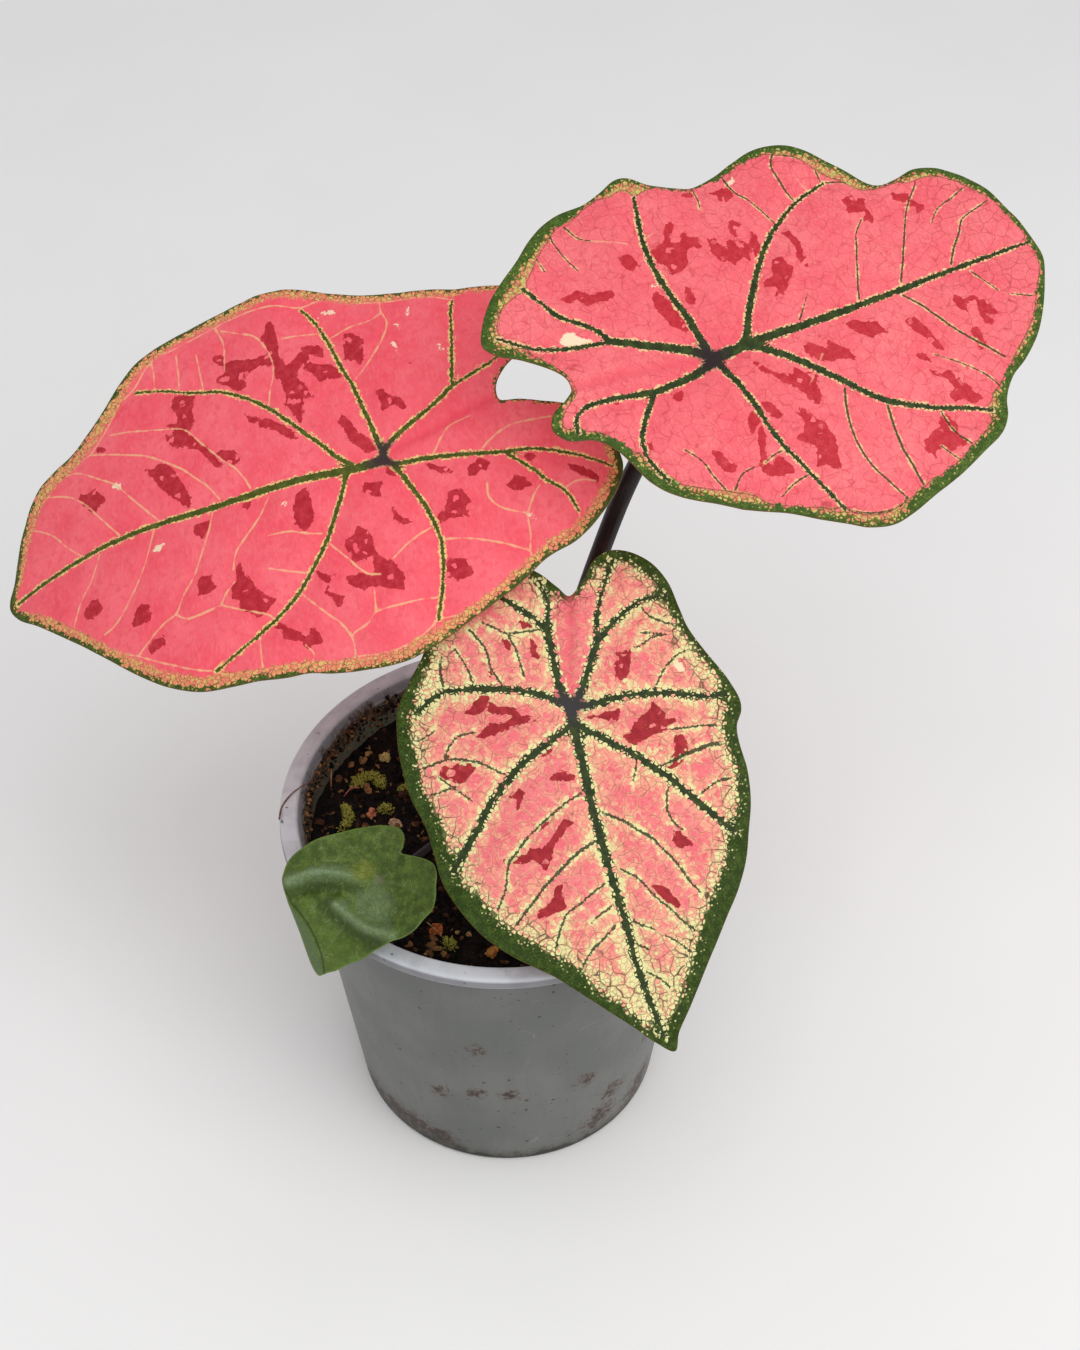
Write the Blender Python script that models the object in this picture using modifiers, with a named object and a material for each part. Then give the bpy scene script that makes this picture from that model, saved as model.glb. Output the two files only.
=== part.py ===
"""Caladium in a 13 cm nursery pot: pot, potting mix, tuber, leaf stalks, leaf blades and what lies on the mix.

Sizes are in millimetres and are turned into metres by MM where points are made. +Z is up.
The origin is the centre of the pot's base, and -Y is the side from which the plant is seen.
"""

import math

import bmesh
import bpy
from mathutils import Matrix, Vector, geometry, noise
from mathutils.bvhtree import BVHTree

MM = 0.001

# Driving dimensions
POT_HEIGHT = 115.0
RIM_RADIUS = 65.0
RIM_INNER_RADIUS = 60.2
LIP_HEIGHT = 3.5
BODY_TOP_RADIUS = 59.5
BASE_RADIUS = 47.4
WALL = 1.4
DRAIN_HOLES = 6
DRAIN_HOLE_RADIUS = 3.5
DRAIN_CIRCLE_RADIUS = 27.0
FOOT_RING_RADIUS = 41.5
CENTRE_PAD_RADIUS = 11.2
SOIL_LEVEL = 102.0
SOIL_LUMP = 1.3
SOIL_BROAD_LUMPS = 26.0
SOIL_FINE_LUMPS = 9.0
TUBER_RADIUS = 20.0
TUBER_HALF_HEIGHT = 13.0
TUBER_CENTRE = Vector((0.0, 4.0, 81.5))
TUBER_KNOBS = 0.05
BLADE_THICKNESS = 0.8
GAP = 0.3

# Heights on the pot that its inner and outer outlines share
BASE_RECESS = 2.6
FOOT_TOP = 2.2
RING_HEIGHT = POT_HEIGHT - 7.0
RING_STEP = 0.6

POT_SEGMENTS = 60
SOIL_SEGMENTS = 48
SOIL_RINGS = 10

# How steeply a blade's tip and its basal lobes bend down
TIP_POWER = 2.2
LOBE_POWER = 1.8


class Leaf:
    """A blade's place and bend. t runs along the midrib from the hub, u to the left of it seen from above."""

    def __init__(self, hub, tilt, lean, heading, droop, lobe_drop, side_drop, reach, wave, outline, spacing):
        self.hub = Vector(hub)
        self.droop = droop
        self.lobe_drop = lobe_drop
        self.side_drop = side_drop
        self.reach = reach
        self.wave = wave
        self.outline = outline
        self.spacing = spacing
        tilt, lean, heading = (math.radians(angle) for angle in (tilt, lean, heading))
        self.normal = Vector((
            math.sin(tilt) * math.cos(lean),
            math.sin(tilt) * math.sin(lean),
            math.cos(tilt),
        ))
        along = Vector((math.cos(heading), math.sin(heading), 0.0))
        along.z = -(self.normal.x * along.x + self.normal.y * along.y) / self.normal.z
        self.along = along.normalized()
        self.across = self.normal.cross(self.along)

    def rise(self, t, u):
        """Height over the hub's plane: the tip and the lobes droop, the halves bend, and the margins wave."""
        length, lobe, half = self.reach
        drop_left, drop_right = self.side_drop
        size, wavelength, phase = self.wave
        side = drop_left if u > 0 else drop_right
        edge = abs(u) / half
        tip = self.droop * (max(t, 0.0) / length) ** TIP_POWER
        lobes = self.lobe_drop * (max(-t, 0.0) / lobe) ** LOBE_POWER
        turn = 2 * math.pi * t / wavelength + (phase if u > 0 else -phase)
        return size * edge ** 3 * math.sin(turn) - tip - lobes - side * edge ** 2

    def point(self, t, u, lift=0.0):
        return self.hub + t * self.along + u * self.across + (self.rise(t, u) + lift) * self.normal


# Each outline is in whole or half millimetres of (t, u), from the tip round by the left side
LEFT_OUTLINE = [
    (122, -4.5), (119, 0), (114, 4), (108, 9.5), (100, 17), (92, 25), (84, 33), (77, 39), (70, 43.5), (64, 46),
    (57, 47.5), (50, 48.5), (42, 50), (35, 51), (28, 53.5), (20, 55.5), (12, 57), (4, 56.5), (-4, 54), (-12, 51),
    (-20, 48), (-28, 45), (-36, 41), (-45, 38.5), (-52, 34), (-58, 28.5), (-61.5, 22), (-61, 16), (-58, 8),
    (-54, 2.5), (-50, 0), (-45, -2), (-40, -4), (-35, -5.5), (-34.5, -9), (-36.5, -13), (-41, -17), (-50, -20),
    (-57, -24), (-60, -29.5), (-59, -35), (-54, -38.5), (-47, -40), (-40, -41.5), (-32, -43.5), (-23, -46.5),
    (-14, -49), (-5, -52), (3, -55.5), (10, -59), (17, -62), (24, -63.5), (32, -64), (41, -64), (50, -63),
    (58, -61), (65, -58.5), (71, -54.5), (77, -49), (83, -45), (90, -41), (97, -39), (103, -36.5), (108, -32),
    (112, -26), (115.5, -19), (118.5, -12), (121.5, -8),
]
RIGHT_OUTLINE = [
    (96, -1), (95, 5), (93, 12), (91, 18), (87, 24), (82, 28.5), (76, 31), (70, 30), (65, 30), (61, 33.5),
    (57, 40), (52, 46.5), (46, 51), (39, 53), (32, 52), (25, 50), (18, 49), (12, 50.5), (7, 53), (3, 56.5),
    (-1, 57.5), (-6, 56), (-11, 55), (-17, 55.5), (-23, 53.5), (-29, 49.5), (-35, 44.5), (-41, 40.5),
    (-46, 36.5), (-50.5, 31), (-53, 25.5), (-50.5, 21), (-46, 18), (-41.5, 13.5), (-38, 9), (-37.5, 5),
    (-40.5, 2.5), (-44.5, 0.5), (-46.5, -3.5), (-44, -7.5), (-38, -10), (-34, -14.5), (-31.5, -20), (-29, -26),
    (-24, -32), (-17, -36.5), (-9, -41), (0, -45), (7, -49.5), (13, -53.5), (18.5, -57), (25, -58), (32, -56.5),
    (40, -54), (48, -52), (56, -49), (62, -46.5), (66, -42.5), (68, -38), (72, -33.5), (78, -30), (84, -25),
    (89, -18.5), (93, -11.5), (95.5, -6),
]
FRONT_OUTLINE = [
    (95, 11), (90, 13), (84, 17), (77, 21.5), (70, 26), (63, 30.5), (56, 35), (49, 38.5), (41, 41), (33, 43),
    (25, 43.5), (18, 42.5), (13, 42.5), (9, 44.5), (5, 44.5), (-1, 42), (-8, 38), (-15, 34.5), (-21, 33),
    (-28, 31.5), (-34, 28), (-38, 23), (-39.5, 17.5), (-37.5, 12.5), (-33, 9), (-29, 4.5), (-32, 1.5),
    (-36.5, -2.5), (-40, -8), (-41.5, -14), (-40, -20), (-37, -26), (-32, -31), (-26, -34.5), (-20, -37),
    (-14, -41.5), (-7, -46), (1, -47.5), (9, -47.5), (17, -46.5), (25, -44), (33, -43), (41, -42), (49, -38.5),
    (56, -34), (62, -28), (66.5, -22), (70, -17), (75, -11.5), (81, -5), (87, 1.5), (92, 6.5),
]
SMALL_OUTLINE = [
    (31, 0), (29, 2), (26.5, 4.5), (23, 7), (19.5, 10), (15.5, 12), (11, 15), (7.5, 18), (4, 20), (0, 20.5),
    (-3, 21), (-6, 19), (-8.5, 16.5), (-11, 14.5), (-12.5, 11.5), (-12, 8), (-10.5, 4), (-9.5, 1), (-11, 0.5),
    (-13.5, -1), (-14.5, -4), (-12.5, -8), (-9.5, -11.5), (-5.5, -15.5), (0, -20), (5, -22.5), (10, -24),
    (14.5, -23), (18, -20.5), (21, -16.5), (24, -12.5), (27, -8.5), (30, -4.5), (31, -2),
]

# wave is its size at the half width, its length along the midrib and its phase
LEAVES = {
    "left": Leaf(
        hub=(-33.3, 37.5, 212.0), tilt=30, lean=-110, heading=-170.2, droop=21, lobe_drop=4,
        side_drop=(5, 5), reach=(100, 60, 50), wave=(0.8, 52, 0.6), outline=LEFT_OUTLINE, spacing=7.5,
    ),
    "right": Leaf(
        hub=(53.8, 32.9, 250.0), tilt=27, lean=-75, heading=25.9, droop=0, lobe_drop=4,
        side_drop=(5, 5), reach=(90, 60, 50), wave=(1.6, 42, 1.1), outline=RIGHT_OUTLINE, spacing=7.5,
    ),
    "front": Leaf(
        hub=(19.6, -16.7, 172.0), tilt=42, lean=-85, heading=-75.1, droop=4, lobe_drop=5,
        side_drop=(5, 5), reach=(90, 40, 42), wave=(1.0, 46, 0.3), outline=FRONT_OUTLINE, spacing=7.0,
    ),
    "small": Leaf(
        hub=(-32.6, -42.8, 130.0), tilt=35, lean=-120, heading=-132.2, droop=4, lobe_drop=2,
        side_drop=(-5, -1), reach=(30, 15, 18), wave=(0.0, 30, 0.0), outline=SMALL_OUTLINE, spacing=4.0,
    ),
}

BLADE_COLOURS = {
    "left": (0.88, 0.14, 0.18),
    "right": (0.88, 0.17, 0.20),
    "front": (0.80, 0.28, 0.22),
    "small": (0.10, 0.19, 0.04),
}

# A stalk rises straight from the tuber, follows the guide points and meets its blade square on from below
STALK_BASE_HEIGHT = 95.0
STALK_STRAIGHT_TOP = 103.0
STALK_LANDING = (5.0, 1.5, 0.0)
STALK_TAPER = 0.8
BORE_BOTTOM = 88.0
BORE_TOP = 112.0
STALKS = {
    "left": {
        "base": (-4.0, 8.0), "radii": (2.9, 2.1),
        "guides": [(-8.0, 14.5, 126.0), (-17.0, 28.5, 162.0), (-27.0, 39.5, 192.0)],
    },
    "right": {
        "base": (5.0, 8.0), "radii": (3.1, 2.3),
        "guides": [
            (9.0, 13.0, 122.0), (16.5, 23.0, 150.0), (25.5, 32.0, 180.0), (34.5, 37.5, 206.5), (46.0, 39.5, 232.0),
        ],
    },
    "front": {
        "base": (1.5, -1.0), "radii": (2.8, 2.1),
        "guides": [(4.0, -1.0, 122.0), (10.5, -4.5, 146.0), (16.5, -9.5, 161.5)],
    },
    "small": {
        "base": (-5.5, 0.5), "radii": (1.7, 1.3),
        "guides": [(-9.0, -5.0, 110.5), (-17.5, -18.5, 118.0), (-26.5, -32.5, 122.5)],
    },
}

# What lies on the potting mix: (x, y) of each piece
MOSS_RIDGES = {
    "moss_arch": {
        "route": [(-45.0, 15.5), (-44.5, 19.0), (-41.5, 20.5), (-38.5, 19.0), (-37.5, 16.0)],
        "radii": (2.0, 2.2, 1.7, 2.3, 1.6),
    },
    "moss_bow": {
        "route": [(-48.5, 8.0), (-46.5, 5.0), (-46.0, 1.5), (-48.0, -1.5)],
        "radii": (1.6, 1.7, 1.9, 1.5),
    },
}
MOSS_TUFTS = [(-30.0, 15.0), (-35.5, 6.5), (-14.0, -43.0)]
MOSS_TUFT_SIZE = (2.6, 2.0, 1.5)
PUMICE_CHIPS = [(-17.5, -38.5), (-2.0, -45.5), (-39.5, 5.0), (-37.5, 28.5), (-32.0, 1.0)]
PUMICE_CHIP_SIZE = (1.9, 1.5, 1.3)
LUMP_ROUGHNESS = 0.22
LUMP_UNDERSIDE = 0.45


def principled(name, colour, roughness):
    material = bpy.data.materials.new(name)
    material.use_nodes = True
    shader = material.node_tree.nodes["Principled BSDF"]
    shader.inputs["Base Color"].default_value = (*colour, 1.0)
    shader.inputs["Roughness"].default_value = roughness
    shader.inputs["Metallic"].default_value = 0.0
    material.diffuse_color = (*colour, 1.0)
    return material


def add_object(name, data, collection, material=None):
    obj = bpy.data.objects.new(name, data)
    collection.objects.link(obj)
    if material:
        data.materials.append(material)
    return obj


def as_mesh(obj, collection):
    """Replaces an object by a plain mesh of what its modifiers or its curve make, with loose caps welded."""
    bpy.context.view_layer.update()
    graph = bpy.context.evaluated_depsgraph_get()
    mesh = bpy.data.meshes.new_from_object(obj.evaluated_get(graph))
    shape = bmesh.new()
    shape.from_mesh(mesh)
    bmesh.ops.remove_doubles(shape, verts=shape.verts, dist=0.00001)
    bmesh.ops.recalc_face_normals(shape, faces=shape.faces)
    shape.to_mesh(mesh)
    shape.free()
    name, matrix = obj.name, obj.matrix_world.copy()
    bpy.data.objects.remove(obj)
    made = add_object(name, mesh, collection)
    made.matrix_world = matrix
    return made


def turned(name, profile, segments, collection, material=None):
    """An (r, z) outline that runs down its outer side, turned about Z."""
    mesh = bpy.data.meshes.new(name)
    points = [(r * MM, 0.0, z * MM) for r, z in profile]
    mesh.from_pydata(points, [(i, i + 1) for i in range(len(points) - 1)], [])
    obj = add_object(name, mesh, collection, material)
    screw = obj.modifiers.new("Turn", "SCREW")
    screw.steps = segments
    screw.render_steps = segments
    screw.use_merge_vertices = True
    screw.merge_threshold = 0.00001
    screw.use_smooth_shade = True
    return obj


def smooth(obj, sharp_degrees=40.0):
    obj.data.shade_smooth()
    obj.data.set_sharp_from_angle(angle=math.radians(sharp_degrees))


def cut(obj, cutter):
    cutter.hide_render = True
    cutter.display_type = "WIRE"
    boolean = obj.modifiers.new(f"Cut {cutter.name}", "BOOLEAN")
    boolean.operation = "DIFFERENCE"
    boolean.solver = "EXACT"
    boolean.object = cutter


def catmull_rom(points, pieces, closed):
    """The smooth curve through the points, with so many pieces between each two."""
    count = len(points)
    spans = count if closed else count - 1
    made = []
    for i in range(spans):
        if closed:
            a, b, c, d = (points[(i + k) % count] for k in (-1, 0, 1, 2))
        else:
            a, b, c, d = (points[min(max(i + k, 0), count - 1)] for k in (-1, 0, 1, 2))
        for step in range(pieces):
            s = step / pieces
            made.append(tuple(
                0.5 * (2 * q + (r - p) * s + (2 * p - 5 * q + 4 * r - v) * s * s + (3 * q - p - 3 * r + v) * s ** 3)
                for p, q, r, v in zip(a, b, c, d)
            ))
    return made if closed else made + [tuple(points[-1])]


def inner_wall_radius(z):
    """The inside of the pot's tapered body, under the rim."""
    share = (z - FOOT_TOP) / (RING_HEIGHT - FOOT_TOP)
    return BASE_RADIUS + (BODY_TOP_RADIUS - RING_STEP - BASE_RADIUS) * share - WALL


def pot_profile():
    """Down the outside from the rim's inner edge, over the lip and the foot, and back up the inside."""
    lip_bottom = POT_HEIGHT - LIP_HEIGHT
    under_rim = POT_HEIGHT - 1.6
    lip_inner = RIM_RADIUS - 1.3
    outside = [
        (RIM_INNER_RADIUS + 0.4, POT_HEIGHT), (RIM_RADIUS - 0.8, POT_HEIGHT), (RIM_RADIUS - 0.2, POT_HEIGHT - 0.3),
        (RIM_RADIUS, POT_HEIGHT - 0.8), (RIM_RADIUS, lip_bottom + 0.5), (RIM_RADIUS - 0.3, lip_bottom),
        (lip_inner + 0.3, lip_bottom), (lip_inner, lip_bottom + 0.5), (lip_inner, under_rim),
        (BODY_TOP_RADIUS + 0.9, under_rim), (BODY_TOP_RADIUS + 0.2, under_rim - 0.8),
        (BODY_TOP_RADIUS, RING_HEIGHT + 0.6), (BODY_TOP_RADIUS - RING_STEP, RING_HEIGHT),
        (BASE_RADIUS, FOOT_TOP), (BASE_RADIUS - 0.5, 0.8), (BASE_RADIUS - 1.4, 0.0),
        (FOOT_RING_RADIUS, 0.0), (FOOT_RING_RADIUS - 0.8, 0.7), (FOOT_RING_RADIUS - 2.0, BASE_RECESS - 0.3),
        (FOOT_RING_RADIUS - 3.0, BASE_RECESS), (CENTRE_PAD_RADIUS + 2.8, BASE_RECESS),
        (CENTRE_PAD_RADIUS + 1.6, BASE_RECESS - 0.3), (CENTRE_PAD_RADIUS + 0.8, 0.7), (CENTRE_PAD_RADIUS, 0.0),
        (0.0, 0.0),
    ]
    recess_top = BASE_RECESS + WALL
    inside = [
        (0.0, WALL), (CENTRE_PAD_RADIUS - 0.6, WALL), (CENTRE_PAD_RADIUS + 0.2, WALL + 0.7),
        (CENTRE_PAD_RADIUS + 1.1, recess_top - 0.3), (CENTRE_PAD_RADIUS + 2.4, recess_top),
        (FOOT_RING_RADIUS - 2.6, recess_top), (FOOT_RING_RADIUS - 1.3, recess_top - 0.3),
        (FOOT_RING_RADIUS - 0.1, WALL + 0.7), (FOOT_RING_RADIUS + 0.5, WALL),
        (BASE_RADIUS - WALL - 0.8, WALL), (inner_wall_radius(FOOT_TOP), FOOT_TOP + 0.4),
        (inner_wall_radius(RING_HEIGHT), RING_HEIGHT), (RIM_INNER_RADIUS - 1.6, under_rim - 1.2),
        (RIM_INNER_RADIUS - 0.5, POT_HEIGHT - 0.9), (RIM_INNER_RADIUS - 0.1, POT_HEIGHT - 0.3),
    ]
    return outside + inside + outside[:1]


def add_pot(parts, cutters):
    plastic = principled("pot_plastic", (0.28, 0.29, 0.29), 0.45)
    pot = turned("pot", pot_profile(), POT_SEGMENTS, parts, plastic)
    for i in range(DRAIN_HOLES):
        angle = 2 * math.pi * (i + 0.5) / DRAIN_HOLES
        drill = bmesh.new()
        place = Matrix.Translation(Vector((
            DRAIN_CIRCLE_RADIUS * math.cos(angle), DRAIN_CIRCLE_RADIUS * math.sin(angle), BASE_RECESS,
        )) * MM)
        bmesh.ops.create_cone(
            drill, cap_ends=True, segments=20, radius1=DRAIN_HOLE_RADIUS * MM, radius2=DRAIN_HOLE_RADIUS * MM,
            depth=6 * WALL * MM, matrix=place,
        )
        mesh = bpy.data.meshes.new("drain_drill")
        drill.to_mesh(mesh)
        drill.free()
        cut(pot, add_object(f"drain_drill_{i + 1}", mesh, cutters))
    return pot


def soil_height(x, y):
    """The lumpy top of the potting mix."""
    broad = noise.noise(Vector((x / SOIL_BROAD_LUMPS, y / SOIL_BROAD_LUMPS, 0.3)))
    fine = noise.noise(Vector((x / SOIL_FINE_LUMPS, y / SOIL_FINE_LUMPS, 4.1)))
    return SOIL_LEVEL + SOIL_LUMP * (broad + 0.5 * fine)


def add_tuber(parts):
    skin = principled("tuber_skin", (0.16, 0.10, 0.06), 0.85)
    ball = bmesh.new()
    bmesh.ops.create_uvsphere(ball, u_segments=24, v_segments=14, radius=1.0)
    for vert in ball.verts:
        knob = 1.0 + TUBER_KNOBS * noise.noise(vert.co * 2.2)
        vert.co = Vector((
            vert.co.x * TUBER_RADIUS * knob, vert.co.y * TUBER_RADIUS * knob, vert.co.z * TUBER_HALF_HEIGHT,
        )) * MM
    mesh = bpy.data.meshes.new("tuber")
    ball.to_mesh(mesh)
    ball.free()
    tuber = add_object("tuber", mesh, parts, skin)
    tuber.location = TUBER_CENTRE * MM
    smooth(tuber, 180.0)
    return tuber


def add_soil(parts, cutters):
    """One block of potting mix down to the pot's floor, with a bed for the tuber and a hole for each stalk."""
    floor = BASE_RECESS + WALL + GAP
    top_radius = inner_wall_radius(SOIL_LEVEL) - GAP
    floor_radius = inner_wall_radius(floor) - GAP
    rings = [(top_radius * i / SOIL_RINGS, SOIL_LEVEL) for i in range(SOIL_RINGS + 1)]
    profile = rings + [(floor_radius, floor), (0.0, floor)]
    soil = as_mesh(turned("soil", profile, SOIL_SEGMENTS, parts), parts)
    soil.data.materials.append(principled("potting_mix", (0.035, 0.024, 0.018), 0.95))
    for vert in soil.data.vertices:
        x, y, z = vert.co / MM
        if z > SOIL_LEVEL - 0.1:
            vert.co.z = soil_height(x, y) * MM
    smooth(soil, 50.0)

    bed = bmesh.new()
    bmesh.ops.create_uvsphere(bed, u_segments=24, v_segments=14, radius=1.0)
    for vert in bed.verts:
        spread = (TUBER_RADIUS * (1.0 + TUBER_KNOBS) + GAP) * MM
        vert.co = Vector((vert.co.x * spread, vert.co.y * spread, vert.co.z * (TUBER_HALF_HEIGHT + 2 * GAP) * MM))
    mesh = bpy.data.meshes.new("tuber_bed")
    bed.to_mesh(mesh)
    bed.free()
    cutter = add_object("tuber_bed", mesh, cutters)
    cutter.location = TUBER_CENTRE * MM
    cut(soil, cutter)

    for name, stalk in STALKS.items():
        x, y = stalk["base"]
        radius = stalk["radii"][0] + 2 * GAP
        bore = bmesh.new()
        middle = Vector((x, y, (BORE_BOTTOM + BORE_TOP) / 2)) * MM
        bmesh.ops.create_cone(
            bore, cap_ends=True, segments=16, radius1=radius * MM, radius2=radius * MM,
            depth=(BORE_TOP - BORE_BOTTOM) * MM, matrix=Matrix.Translation(middle),
        )
        mesh = bpy.data.meshes.new(f"stalk_bore_{name}")
        bore.to_mesh(mesh)
        bore.free()
        cut(soil, add_object(f"stalk_bore_{name}", mesh, cutters))
    return soil


def stalk_route(name):
    leaf = LEAVES[name]
    x, y = STALKS[name]["base"]
    straight = [(x, y, STALK_BASE_HEIGHT), (x, y, STALK_STRAIGHT_TOP)]
    under_blade = BLADE_THICKNESS / 2 + GAP
    *landing, end = (tuple(leaf.point(0.0, 0.0, -under_blade - rest)) for rest in STALK_LANDING)
    return catmull_rom(straight + STALKS[name]["guides"] + landing, 5, closed=False) + [end]


def add_stalk(name, parts, material):
    """A tapering round stalk, widest where it leaves the tuber."""
    route = stalk_route(name)
    low, high = STALKS[name]["radii"]
    curve = bpy.data.curves.new(f"stalk_{name}", "CURVE")
    curve.dimensions = "3D"
    curve.bevel_depth = MM
    curve.bevel_resolution = 3
    curve.use_fill_caps = True
    spline = curve.splines.new("POLY")
    spline.points.add(len(route) - 1)
    for i, (point, place) in enumerate(zip(spline.points, route)):
        share = i / (len(route) - 1)
        point.co = (*(Vector(place) * MM), 1.0)
        point.radius = low + (high - low) * share ** STALK_TAPER
    spline.use_smooth = True
    return add_object(f"stalk_{name}", curve, parts, material)


def inside(outline, t, u):
    hit = False
    for (t1, u1), (t2, u2) in zip(outline, outline[1:] + outline[:1]):
        if (u1 > u) != (u2 > u) and t < (t2 - t1) * (u - u1) / (u2 - u1) + t1:
            hit = not hit
    return hit


def distance_to(outline, t, u):
    place = Vector((t, u))
    nearest = math.inf
    for a, b in zip(outline, outline[1:] + outline[:1]):
        foot, share = geometry.intersect_point_line(place, Vector(a), Vector(b))
        foot = Vector(a) if share < 0 else Vector(b) if share > 1 else foot
        nearest = min(nearest, (place - foot).length)
    return nearest


def sheet_points(outline, spacing):
    """A triangle grid of points inside the outline, the hub among them."""
    row_height = spacing * math.sqrt(3) / 2
    reach = max(math.hypot(t, u) for t, u in outline)
    rows = math.ceil(reach / row_height)
    columns = math.ceil(reach / spacing)
    found = []
    for row in range(-rows, rows + 1):
        for column in range(-columns, columns + 1):
            t = (column + 0.5 * (row % 2)) * spacing
            u = row * row_height
            if inside(outline, t, u) and distance_to(outline, t, u) > 0.5 * spacing:
                found.append((t, u))
    return found


def add_blade(name, parts, material):
    """A thin bent sheet with the leaf's outline, thickened to both sides."""
    leaf = LEAVES[name]
    outline = catmull_rom(leaf.outline, 2, closed=True)
    inner = sheet_points(outline, leaf.spacing)
    edges = [(i, (i + 1) % len(outline)) for i in range(len(outline))]
    flat = [Vector(place) for place in outline + inner]
    places, _, faces, *_ = geometry.delaunay_2d_cdt(flat, edges, [], 1, 0.001)
    mesh = bpy.data.meshes.new(f"blade_{name}")
    mesh.from_pydata([leaf.point(t, u) * MM for t, u in places], [], faces)
    blade = add_object(f"blade_{name}", mesh, parts, material)
    mesh.shade_smooth()
    solid = blade.modifiers.new("Thickness", "SOLIDIFY")
    solid.thickness = BLADE_THICKNESS * MM
    solid.offset = 0.0
    return blade


def seat_height(surface, x, y, reach):
    """The highest point of the mix under a piece that reaches so far round (x, y)."""
    heights = []
    for step in range(12):
        angle = math.pi * step / 6
        for share in (0.0, 0.5, 1.0):
            at = Vector((x + share * reach * math.cos(angle), y + share * reach * math.sin(angle), POT_HEIGHT))
            hit = surface.ray_cast(at * MM, Vector((0.0, 0.0, -1.0)))[0]
            heights.append(hit.z / MM)
    return max(heights)


def add_lump(name, x, y, size, seed, surface, parts, material):
    """A small rounded crumb with a flat underside, resting on the mix."""
    ball = bmesh.new()
    bmesh.ops.create_icosphere(ball, subdivisions=2, radius=1.0)
    for vert in ball.verts:
        bump = 1.0 + LUMP_ROUGHNESS * noise.noise(vert.co * 1.7 + Vector((seed, 0.0, 0.0)))
        along, across, up = (value * bump for value in vert.co)
        vert.co = Vector((along * size[0], across * size[1], max(up, -LUMP_UNDERSIDE) * size[2])) * MM
    mesh = bpy.data.meshes.new(name)
    ball.to_mesh(mesh)
    ball.free()
    lump = add_object(name, mesh, parts, material)
    underside = LUMP_UNDERSIDE * size[2]
    lump.location = Vector((x, y, seat_height(surface, x, y, size[0]) + GAP + underside)) * MM
    lump.rotation_euler.z = seed
    smooth(lump, 60.0)
    return lump


def add_moss_ridge(name, ridge, surface, parts, material):
    """A low ridge of moss along a bent route on the mix."""
    radii = ridge["radii"]
    seat = max(seat_height(surface, x, y, max(radii)) for x, y in ridge["route"])
    keys = [(x, y, seat + GAP + radius, radius) for (x, y), radius in zip(ridge["route"], radii)]
    route = catmull_rom(keys, 3, closed=False)
    curve = bpy.data.curves.new(name, "CURVE")
    curve.dimensions = "3D"
    curve.bevel_depth = MM
    curve.bevel_resolution = 2
    curve.use_fill_caps = True
    spline = curve.splines.new("POLY")
    spline.points.add(len(route) - 1)
    for point, (x, y, z, radius) in zip(spline.points, route):
        point.co = (x * MM, y * MM, z * MM, 1.0)
        point.radius = radius
    spline.use_smooth = True
    return add_object(name, curve, parts, material)


def main():
    for obj in list(bpy.data.objects):
        bpy.data.objects.remove(obj)
    parts = bpy.data.collections.new("caladium")
    cutters = bpy.data.collections.new("cutters")
    for collection in (parts, cutters):
        bpy.context.scene.collection.children.link(collection)

    add_pot(parts, cutters)
    soil = add_soil(parts, cutters)
    add_tuber(parts)

    stem = principled("stalk_skin", (0.030, 0.016, 0.018), 0.4)
    for name in STALKS:
        add_stalk(name, parts, stem)

    for name in LEAVES:
        add_blade(name, parts, principled(f"blade_{name}", BLADE_COLOURS[name], 0.5))

    bpy.context.view_layer.update()
    surface = BVHTree.FromObject(soil, bpy.context.evaluated_depsgraph_get())
    moss = principled("moss", (0.20, 0.24, 0.03), 0.95)
    for name, ridge in MOSS_RIDGES.items():
        add_moss_ridge(name, ridge, surface, parts, moss)
    for i, (x, y) in enumerate(MOSS_TUFTS):
        add_lump(f"moss_tuft_{i + 1}", x, y, MOSS_TUFT_SIZE, 1.3 * (i + 1), surface, parts, moss)
    pumice = principled("pumice", (0.55, 0.38, 0.20), 0.9)
    for i, (x, y) in enumerate(PUMICE_CHIPS):
        add_lump(f"pumice_chip_{i + 1}", x, y, PUMICE_CHIP_SIZE, 0.9 * (i + 2), surface, parts, pumice)


main()
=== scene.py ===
"""Looks of a caladium in a 13 cm nursery pot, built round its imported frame.

Lengths are in millimetres and are turned into metres by MM where points are made. A blade is drawn in its own
plane: t runs along the midrib from the hub where the stalk meets it, and u to the left of it seen from above.
"""

import math
import random

import bmesh
import bpy
import numpy as np
from mathutils import Matrix, Vector, geometry, noise


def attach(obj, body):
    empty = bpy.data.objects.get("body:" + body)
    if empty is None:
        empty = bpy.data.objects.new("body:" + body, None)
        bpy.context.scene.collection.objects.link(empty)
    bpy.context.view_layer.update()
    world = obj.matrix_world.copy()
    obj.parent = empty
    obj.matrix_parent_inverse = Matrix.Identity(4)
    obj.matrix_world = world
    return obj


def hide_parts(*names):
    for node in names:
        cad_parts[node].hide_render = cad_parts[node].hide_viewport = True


MM = 0.001

# The camera, fitted to the pot's rim and sides in the photograph
CAMERA_PLACE = (20.888, -407.697, 568.397)
CAMERA_RIGHT = (0.999672, 0.025592, 0.0)
CAMERA_UP = (-0.017963, 0.701687, 0.712259)
CAMERA_BACK = (0.018228, -0.712026, 0.701917)
CAMERA_LENS = 56.0
SENSOR_WIDTH = 36.0

# Half the floor's side, in metres
FLOOR_HALF = 3.0

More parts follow.
